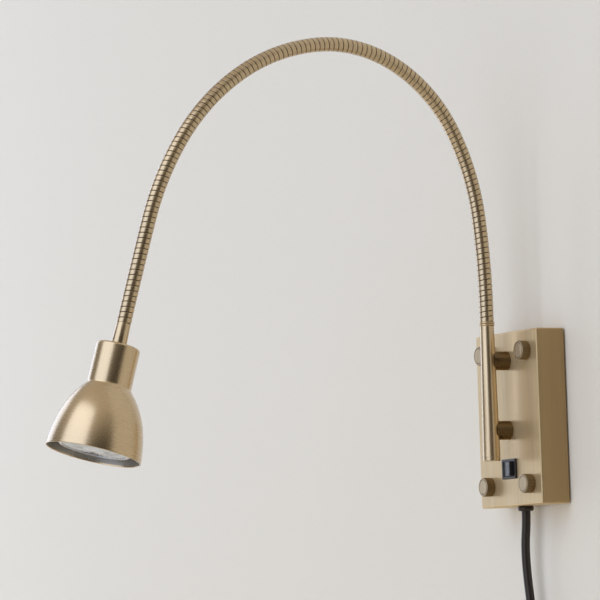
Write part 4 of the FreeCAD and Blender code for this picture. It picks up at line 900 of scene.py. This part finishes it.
class ReadingLampShade(bpy.types.Operator):
    """Ferrule and spun shade with its enamelled inside"""

    bl_idname = "reading_lamp.shade"
    bl_label = "Shade"

    def execute(self, context):
        sizes = settings().head
        origin, axis, heading = head_place()
        brass = settings().colours.brass
        edge = 0.3 * mm
        ferrule = np.vstack(
            [
                [(sizes.bore, 0.0)],
                arc((sizes.ferrule_top - edge, edge), edge, -90, 0, 5),
                arc((sizes.ferrule_bottom - edge, sizes.ferrule - edge), edge, 0, 90, 5),
                [(sizes.thread, sizes.ferrule), (sizes.thread, sizes.thread_from)],
                [(sizes.bore, sizes.thread_from)],
            ]
        )
        along = brushed_brass(
            "brass_ferrule", brass, (700.0, 700.0, 12.0), roughness=0.27, origin=origin, tilt=heading
        )
        show(turned("ferrule", ferrule, origin, axis), "head", "brass", along, "head_ferrule")
        clearance = 0.1 * mm
        hole = sizes.thread + clearance
        shell = skin(sizes, 0.0, sizes.wall - sizes.lining, hole, 0.0)
        spun = shade_finish(brass, origin, heading, sizes)
        show(turned("shade_shell", shell, origin, axis, 144), "head", "brass", spun, "shade")
        lining = skin(sizes, sizes.wall - sizes.lining, sizes.wall, hole, sizes.wall)
        enamel = plain_finish("lining_enamel", settings().colours.lining, 0.6, 0.3, 60.0, 0.0, 0.9)
        show(turned("shade_lining", lining, origin, axis, 144), "head", "brass", enamel)
        return {"FINISHED"}


def shade_finish(colour, origin, heading, sizes):
    """Spun and brushed brass: streaks along the neck, fine turned rings on the bell, and a slow cloud."""
    finish = Finish("brass_shade", colour, 1.0, 0.27)
    finish.lacquer()
    streaks = finish.noise((800.0, 800.0, 12.0), detail=4.0, origin=origin, tilt=heading)
    rings = finish.noise((9.0, 9.0, 1600.0), detail=3.0, origin=origin, tilt=heading)
    place = finish.node("ShaderNodeTexCoord")
    mapping = finish.node("ShaderNodeMapping", vector_type="TEXTURE")
    mapping.inputs["Location"].default_value = origin
    mapping.inputs["Rotation"].default_value = (heading, 0.0, 0.0)
    split = finish.node("ShaderNodeSeparateXYZ")
    finish.link(place.outputs["Object"], mapping.inputs["Vector"])
    finish.link(mapping.outputs["Vector"], split.inputs["Vector"])
    root = sizes.ferrule + sizes.neck_length
    on_bell = finish.spread(split.outputs["Z"], 0.0, 1.0, root, root + 3 * mm)
    mix = finish.node("ShaderNodeMix", data_type="FLOAT")
    finish.link(on_bell, mix.inputs["Factor"])
    finish.link(streaks, mix.inputs["A"])
    finish.link(rings, mix.inputs["B"])
    fine = mix.outputs["Result"]
    finish.tint(fine, darker(colour, 0.94), share=0.6)
    cloud = finish.noise((25.0, 25.0, 25.0), detail=2.0)
    finish.tint(cloud, darker(colour, 0.95), share=0.6)
    finish.rough(fine, 0.015)
    return finish.material


# ---- bulb --------------------------------------------------------------------------------------------


class ReadingLampBulb(bpy.types.Operator):
    """Reflector bulb: shell with a soft shoulder and a fluted lens"""

    bl_idname = "reading_lamp.bulb"
    bl_label = "Bulb"

    def execute(self, context):
        sizes = settings().head
        origin, axis, _ = head_place()
        face = sizes.ferrule + sizes.length - sizes.bulb_recess
        base = face - sizes.bulb_length
        neck = base + sizes.bulb_base_height
        rim = face - sizes.bulb_rim
        # The shoulder runs straight from the base to the rim, and swells by 4 s (1 - s) of its bulge,
        # outwards and towards the base, where s is the share of the way.
        share = np.linspace(0.0, 1.0, 24)
        swell = 4 * share * (1 - share) * sizes.bulb_bulge
        shoulder = np.stack(
            [
                sizes.bulb_base + (sizes.bulb_radius - sizes.bulb_base) * share + swell,
                neck + (rim - neck) * share - swell,
            ],
            axis=1,
        )
        edge = 0.9 * mm
        base_edge = 0.5 * mm
        seat = sizes.lens_radius + 0.1 * mm
        body = np.vstack(
            [
                [(0.0, base)],
                arc((sizes.bulb_base - base_edge, base + base_edge), base_edge, -90, 0, 6),
                shoulder,
                arc((sizes.bulb_radius - edge, face - edge), edge, 0, 90, 8),
                [(seat, face), (seat, face - sizes.lens_seat), (0.0, face - sizes.lens_seat)],
            ]
        )
        shell = plain_finish("bulb_shell", settings().colours.bulb, 0.2, 0.25, 500.0, 0.00001, 0.95)
        show(turned("bulb_shell", body, origin, axis, 128), "bulb", "lamp_body", shell, "bulb_body")
        lens = self.lens(sizes, origin, axis, face)
        show(lens, "bulb", "lamp_glass", lens_finish(settings().colours.bulb), "bulb_lens")
        return {"FINISHED"}

    def lens(self, sizes, origin, axis, face, around=216):
        """The lens: its front rises as dome * (1 - (r / R)^2), and radial flutes of 0.22 mm swing as
        the cosine of the angle times their number, fading out to the middle and to the edge."""
        flute_depth = 0.22 * mm
        low = face - sizes.lens_seat
        edge = low + sizes.lens_edge
        radius = sizes.lens_radius * np.concatenate([np.linspace(0.0, 1.0, 22), [1.0, 0.0]])
        angle = 2 * math.pi * (np.arange(around + 1) % around) / around
        share = radius / sizes.lens_radius
        fade = np.clip((share - 0.28) / 0.15, 0, 1) * np.clip((0.97 - share) / 0.08, 0, 1)
        front = edge + sizes.lens_dome * (1 - share**2)
        height = front[:, None] + flute_depth / 2 * fade[:, None] * (np.cos(angle * sizes.flutes) - 1)
        height[-2:] = low
        spread = radius[:, None]
        points = np.stack([spread * np.cos(angle), spread * np.sin(angle), height], -1)
        return surface("bulb_lens_fluted", placed(points, origin, axis), sharp=40.0)


def lens_finish(colour):
    """Silvery glass over its reflector: a bright, slightly uneven gloss."""
    finish = Finish("lens_glass", darker(colour, 0.85), 0.85, 0.14)
    value = finish.noise((260.0, 260.0, 260.0), detail=3.0)
    finish.tint(value, darker(colour, 0.45))
    finish.rough(value, 0.06)
    finish.bump(value, 0.00006, 0.5)
    finish.shader.inputs["Coat Weight"].default_value = 0.6
    finish.shader.inputs["Coat Roughness"].default_value = 0.08
    return finish.material


# ---- thumb nuts, rocker, cord grip -------------------------------------------------------------------


def nut_outline(front):
    """A nut's section from its middle through its blind hole and round its outside, with a ring turned in its
    face, then the share of the knurl's depth that each point takes, and the share of painted shade that each point
    takes."""
    radius, height = front.nut_radius, front.nut_height
    edge = 0.7 * mm
    low = arc((radius - edge, edge), edge, -90, 0, 6)
    high = arc((radius - edge, height - edge), edge, 0, 90, 6)
    ring = front.ring
    ring_depth = 0.25 * mm
    low_ring = height - ring_depth
    face = [(ring + 0.35 * mm, height), (ring + 0.15 * mm, low_ring), (ring - 0.25 * mm, low_ring)]
    face += [(ring - 0.45 * mm, height), (ring * 0.5, height), (0.0, height)]
    hole = [(0.0, front.nut_bore_depth), (front.nut_bore, front.nut_bore_depth), (front.nut_bore, 0.0)]
    points = np.vstack([hole, low, high, face])
    cut = np.zeros(len(points))
    cut[len(hole) + 2 : len(hole) + len(low)] = [0.35, 0.7, 1.0, 1.0]
    cut[len(hole) + len(low) : len(hole) + len(low) + 4] = [1.0, 1.0, 0.7, 0.35]
    # Painted shade: the knurled side takes it as the knurl's depth, and the bottom of the ring's groove takes it
    # fully.
    painted_shade = cut.copy()
    painted_shade[-len(face) + 1 : -len(face) + 3] = 1.0
    return points, cut, painted_shade


class ReadingLampNuts(bpy.types.Operator):
    """Four knurled thumb nuts on the cover's front"""

    bl_idname = "reading_lamp.nuts"
    bl_label = "Thumb nuts"

    def execute(self, context):
        front = settings().front
        finish = nut_finish(settings().colours.brass)
        outline, cut, painted_shade = nut_outline(front)
        steps = front.knurls * 6
        angle = 2 * math.pi * (np.arange(steps + 1) % steps) / steps
        # The knurl cuts in by its depth times one less the root of a raised cosine: round crests, sharp
        # grooves.
        wave = 0.5 + 0.5 * np.cos(angle * front.knurls)
        radius = outline[:, :1] - cut[:, None] * front.knurl * (1 - np.sqrt(wave))
        along = np.broadcast_to(outline[:, 1:], radius.shape)
        points = np.stack([radius * np.cos(angle), radius * np.sin(angle), along], -1)
        # UV Y carries the painted shade; UV X carries the knurl's wave.
        side = np.broadcast_to(painted_shade[:, None], radius.shape)
        uv = np.stack([np.broadcast_to(wave, radius.shape), side], -1)
        for row, z in (("top", front.nut_z), ("bottom", -front.nut_z)):
            for column, x in (("left", -front.nut_x), ("right", front.nut_x)):
                grid = placed(points, (x, -front.face, z), (0.0, -1.0, 0.0))
                nut = surface(f"nut_{row}_{column}", grid, uv, flip=True)
                show(nut, "wall_unit", "brass", finish, f"thumb_nut_{row}_{column}")
        return {"FINISHED"}


def nut_finish(brass):
    """Brushed brass with painted shade: the nut is a darker copy of the brass, its knurled side and ring's groove
    are painted darker still, and lines painted darker run round it, one to each knurl, where the knurl's wave is
    high.
    """
    # Painted shade: the nut's brass is a darker copy of the brass.
    finish = Finish("brass_nut", darker(brass, 0.78), 1.0, 0.36)
    fine = finish.noise((600.0, 40.0, 60.0), detail=3.0)
    finish.tint(fine, darker(brass, 0.62))
    # Painted shade on the knurled side and in the ring's groove, by UV Y.
    finish.tint(finish.across("UV", "Y"), darker(brass, 0.34), span=(0.2, 0.9))
    # Painted shade lines, one to each knurl, darker towards each crest and in line with it across the face.
    groove = finish.across("UV", "X")
    finish.tint(groove, darker(brass, 0.5), share=0.5, span=(0.6, 1.0))
    finish.rough(fine, 0.05)
    finish.bump(groove, 0.00002, 0.2)
    return finish.material


class ReadingLampRocker(bpy.types.Operator):
    """The switch's rocker, at rest with its left side pressed in"""

    bl_idname = "reading_lamp.rocker"
    bl_label = "Rocker"

    def execute(self, context):
        front = settings().front
        pivot = Vector(joints["rocker_tilt"]["pos_m"])
        reach, face, throw = front.rocker_reach, front.rocker_face, front.rocker_throw
        slide = math.sqrt(reach**2 - face**2)
        tip_x = slide * math.cos(throw) - face * math.sin(throw)
        tip_angle = math.degrees(math.atan2(-(slide * math.sin(throw) + face * math.cos(throw)), tip_x))
        foot_angle = math.degrees(math.asin(front.rocker_skirt / reach))
        # The crown is two planes that meet in a rounded valley over the pivot, each dished as a sine of
        # the way to its end. The ends are arcs about the pivot.
        dish_depth = 0.22 * mm
        valley_round = 0.5 * mm
        valley_ease = 0.2 * mm
        end_round = 0.4 * mm
        middle = np.array([0.0, -1.0 * mm])
        x = np.linspace(-tip_x, tip_x, 33)[1:-1]
        valley = face / math.cos(throw)
        dish = dish_depth * np.sin(math.pi * np.abs(x) / tip_x)
        vee = np.hypot(x, valley_round) * math.tan(throw) * np.abs(x) / np.hypot(x, valley_ease)
        crown = np.stack([x, -(valley + vee) + dish], axis=1)
        right = arc((0.0, 0.0), reach, tip_angle, foot_angle, 12)
        left = right[::-1] * [-1.0, 1.0]
        section = np.vstack([crown, right, left, crown[:1]])
        rows = stadium_rows(section, middle, front.rocker_half, end_round)
        tilt = np.array(Matrix.Rotation(-throw, 3, "Z"))
        grid = rows @ tilt.T + np.array(pivot)
        rocker = surface("rocker", grid, flip=True, sharp=40.0)
        finish = plain_finish("rocker_gloss", settings().colours.black, 0.0, 0.16, 900.0, 0.000004)
        show(rocker, "rocker", "black_plastic", finish, "switch_rocker")
        return {"FINISHED"}


# The cord's free stretch, from the grip's foot down to the coil.
CORD_ROUTE = [
    (0.0, -0.01175, -0.0661),
    (0.0, -0.01175, -0.0745),
    (-0.0032, -0.0116, -0.0900),
    (-0.0030, -0.0112, -0.1090),
    (-0.0004, -0.0106, -0.1300),
    (0.0018, -0.0096, -0.1500),
    (0.0075, -0.00855, -0.1685),
    (0.0210, -0.00855, -0.1820),
]


class ReadingLampGrip(bpy.types.Operator):
    """Rubber grip where the cord leaves the cover, with its tapered sleeve inside"""

    bl_idname = "reading_lamp.grip"
    bl_label = "Cord grip"

    def execute(self, context):
        front = settings().front
        under = CORD_ROUTE[0][2] + front.grip_drop
        cord = settings().cord.diameter / 2
        throat = 4.6 * mm
        flange_radius = 6.0 * mm
        flange_height = 3.0 * mm
        flange_edge = 0.5 * mm
        sleeve_root = 5.2 * mm
        sleeve_tip = 3.95 * mm
        tip_radius = 3.7 * mm
        tip_edge = 0.3 * mm
        inside = under + front.cover_wall
        flange = inside + flange_height
        tip = inside + front.grip_inside
        half = front.grip_drop / 2
        bulge = np.linspace(-math.pi / 2, math.pi / 2, 17)
        foot = np.stack(
            [
                front.grip_radius - half * 0.6 * (1 - np.cos(bulge)),
                under - half + half * np.sin(bulge),
            ],
            axis=1,
        )
        grip = np.vstack(
            [
                [(cord, under - front.grip_drop)],
                foot,
                [(throat, under), (throat, inside), (flange_radius, inside)],
                arc((flange_radius - flange_edge, flange - flange_edge), flange_edge, 0, 90, 5),
                [(sleeve_root, flange), (sleeve_tip, tip - tip_edge), (tip_radius, tip), (cord, tip)],
            ]
        )
        place = (CORD_ROUTE[0][0], CORD_ROUTE[0][1], 0.0)
        finish = plain_finish("grip_rubber", settings().colours.black, 0.0, 0.32, 700.0, 0.00001)
        piece = turned("grip", grip, place, (0.0, 0.0, 1.0), 64)
        show(piece, "wall_unit", "black_rubber", finish, "cord_grip")
        return {"FINISHED"}


# ---- cord --------------------------------------------------------------------------------------------


class ReadingLampCord(bpy.types.Operator):
    """Supply cord: the free stretch, the put-away coil and the tail, on one smooth line"""

    bl_idname = "reading_lamp.cord"
    bl_label = "Cord"

    def execute(self, context):
        sizes = settings().cord
        # The coil's points run round at the coil's radius, one pitch further in with each turn to the
        # middle of the cord and out again, while a smooth step of half a turn carries them to the second
        # layer. They stand out by 8 / (6 + 2 cos t), t being the angle from point to point, so that the
        # spline keeps the radius.
        per_turn = 24
        climb_turns = 0.5
        entry = math.radians(45.0)
        last = np.array(CORD_ROUTE[-1])
        start = last + np.array([math.sin(entry), 0.0, -math.cos(entry)]) * sizes.diameter
        centre = start - np.array([math.cos(entry), 0.0, math.sin(entry)]) * sizes.coil_radius
        turn = np.arange(1, int(sizes.turns * per_turn)) / per_turn
        half = sizes.turns / 2
        radius = sizes.coil_radius - sizes.turn_pitch * (half - np.abs(half - turn))
        climb = np.clip((turn - half + climb_turns / 2) / climb_turns, 0.0, 1.0)
        climb = climb**2 * (3 - 2 * climb)
        angle = entry - 2 * math.pi * turn
        outward = 8 / (6 + 2 * math.cos(2 * math.pi / per_turn))
        coil = np.stack(
            [
                centre[0] + radius * outward * np.cos(angle),
                centre[1] - sizes.turn_pitch * climb,
                centre[2] + radius * outward * np.sin(angle),
            ],
            axis=1,
        )
        exit_x = centre[0] + sizes.coil_radius
        layer = centre[1] - sizes.turn_pitch
        end = centre[2] - sizes.diameter - sizes.tail
        tail = [(exit_x, layer, centre[2]), (exit_x, layer, (centre[2] + end) / 2), (exit_x, layer, end)]
        points = np.concatenate([CORD_ROUTE, [start], coil, tail])
        curve = bpy.data.curves.new("supply_cord_run", "CURVE")
        curve.dimensions = "3D"
        curve.bevel_depth = sizes.diameter / 2
        curve.bevel_resolution = 6
        curve.resolution_u = 4
        curve.use_fill_caps = True
        spline = curve.splines.new("NURBS")
        spline.points.add(len(points) - 1)
        spline.points.foreach_set("co", np.column_stack([points, np.ones(len(points))]).ravel())
        spline.order_u = 3
        spline.use_endpoint_u = True
        cord = bpy.data.objects.new("cord_run", curve)
        context.collection.objects.link(cord)
        finish = plain_finish("cord_sheath", settings().colours.black, 0.0, 0.38, 900.0, 0.00001)
        show(cord, "wall_unit", "black_rubber", finish, "cord_drop", "cord_coil", "cord_tail")
        return {"FINISHED"}


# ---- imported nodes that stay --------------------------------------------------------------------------


class ReadingLampFrameFinishes(bpy.types.Operator):
    """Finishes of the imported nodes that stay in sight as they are"""

    bl_idname = "reading_lamp.frame_finishes"
    bl_label = "Frame finishes"

    def execute(self, context):
        colours = settings().colours
        finishes = {
            "brass": cover_brass(tuple(colours.brass), settings().front.half_width),
            "dark_bronze": plain_finish("bronze_turned", colours.bronze, 1.0, 0.32, 700.0, 0.00001),
            "zinc_steel": plain_finish("zinc_plate", colours.steel, 1.0, 0.35, 300.0, 0.00001),
            "black_plastic": plain_finish("black_moulding", colours.black, 0.0, 0.35, 1500.0, 0.00001),
            "black_rubber": plain_finish("black_rubber", colours.black, 0.0, 0.5, 900.0, 0.00001),
            "wire_sheath": plain_finish("wire_sheath", colours.sheath, 0.0, 0.35, 500.0, 0.0),
            "ceramic": plain_finish("ceramic", colours.ceramic, 0.0, 0.18, 200.0, 0.00001),
            "cream_plastic": plain_finish("cream_moulding", colours.cream, 0.0, 0.4, 900.0, 0.00001),
            "lamp_glass": plain_finish("lens_frost", colours.bulb, 0.0, 0.25, 800.0, 0.00001),
            "lamp_body": plain_finish("lamp_shell", colours.bulb, 0.0, 0.3, 500.0, 0.00001),
            "plug_brass": plain_finish("pin_brass", colours.pins, 1.0, 0.25, 400.0, 0.00001),
        }
        for entry in frame["record"]["subparts"]:
            node = frame["nodes"][entry["node"]]
            node.data.materials.clear()
            node.data.materials.append(finishes[entry["material_slot"]])
        return {"FINISHED"}


# ---- panel and order ---------------------------------------------------------------------------------

STEPS = [
    ReadingLampStage,
    ReadingLampFrameFinishes,
    ReadingLampArm,
    ReadingLampNeck,
    ReadingLampShade,
    ReadingLampBulb,
    ReadingLampNuts,
    ReadingLampRocker,
    ReadingLampGrip,
    ReadingLampCord,
]


class ReadingLampPanel(bpy.types.Panel):
    """Buttons for each step"""

    bl_idname = "VIEW3D_PT_reading_lamp"
    bl_label = "Reading lamp"
    bl_space_type = "VIEW_3D"
    bl_region_type = "UI"
    bl_category = "Reading lamp"

    def draw(self, context):
        for step in STEPS:
            self.layout.operator(step.bl_idname)


CLASSES = [
    LampColours,
    ArmSizes,
    NeckSizes,
    HeadSizes,
    FrontSizes,
    CordSizes,
    StageSizes,
    LampSettings,
    *STEPS,
    ReadingLampPanel,
]


def register():
    for kind in CLASSES:
        bpy.utils.register_class(kind)
    bpy.types.Scene.reading_lamp = PointerProperty(type=LampSettings)


def unregister():
    del bpy.types.Scene.reading_lamp
    for kind in reversed(CLASSES):
        bpy.utils.unregister_class(kind)


def main():
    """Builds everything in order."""
    register()
    for step in STEPS:
        group, name = step.bl_idname.split(".")
        getattr(getattr(bpy.ops, group), name)()


if __name__ == "__main__":
    main()
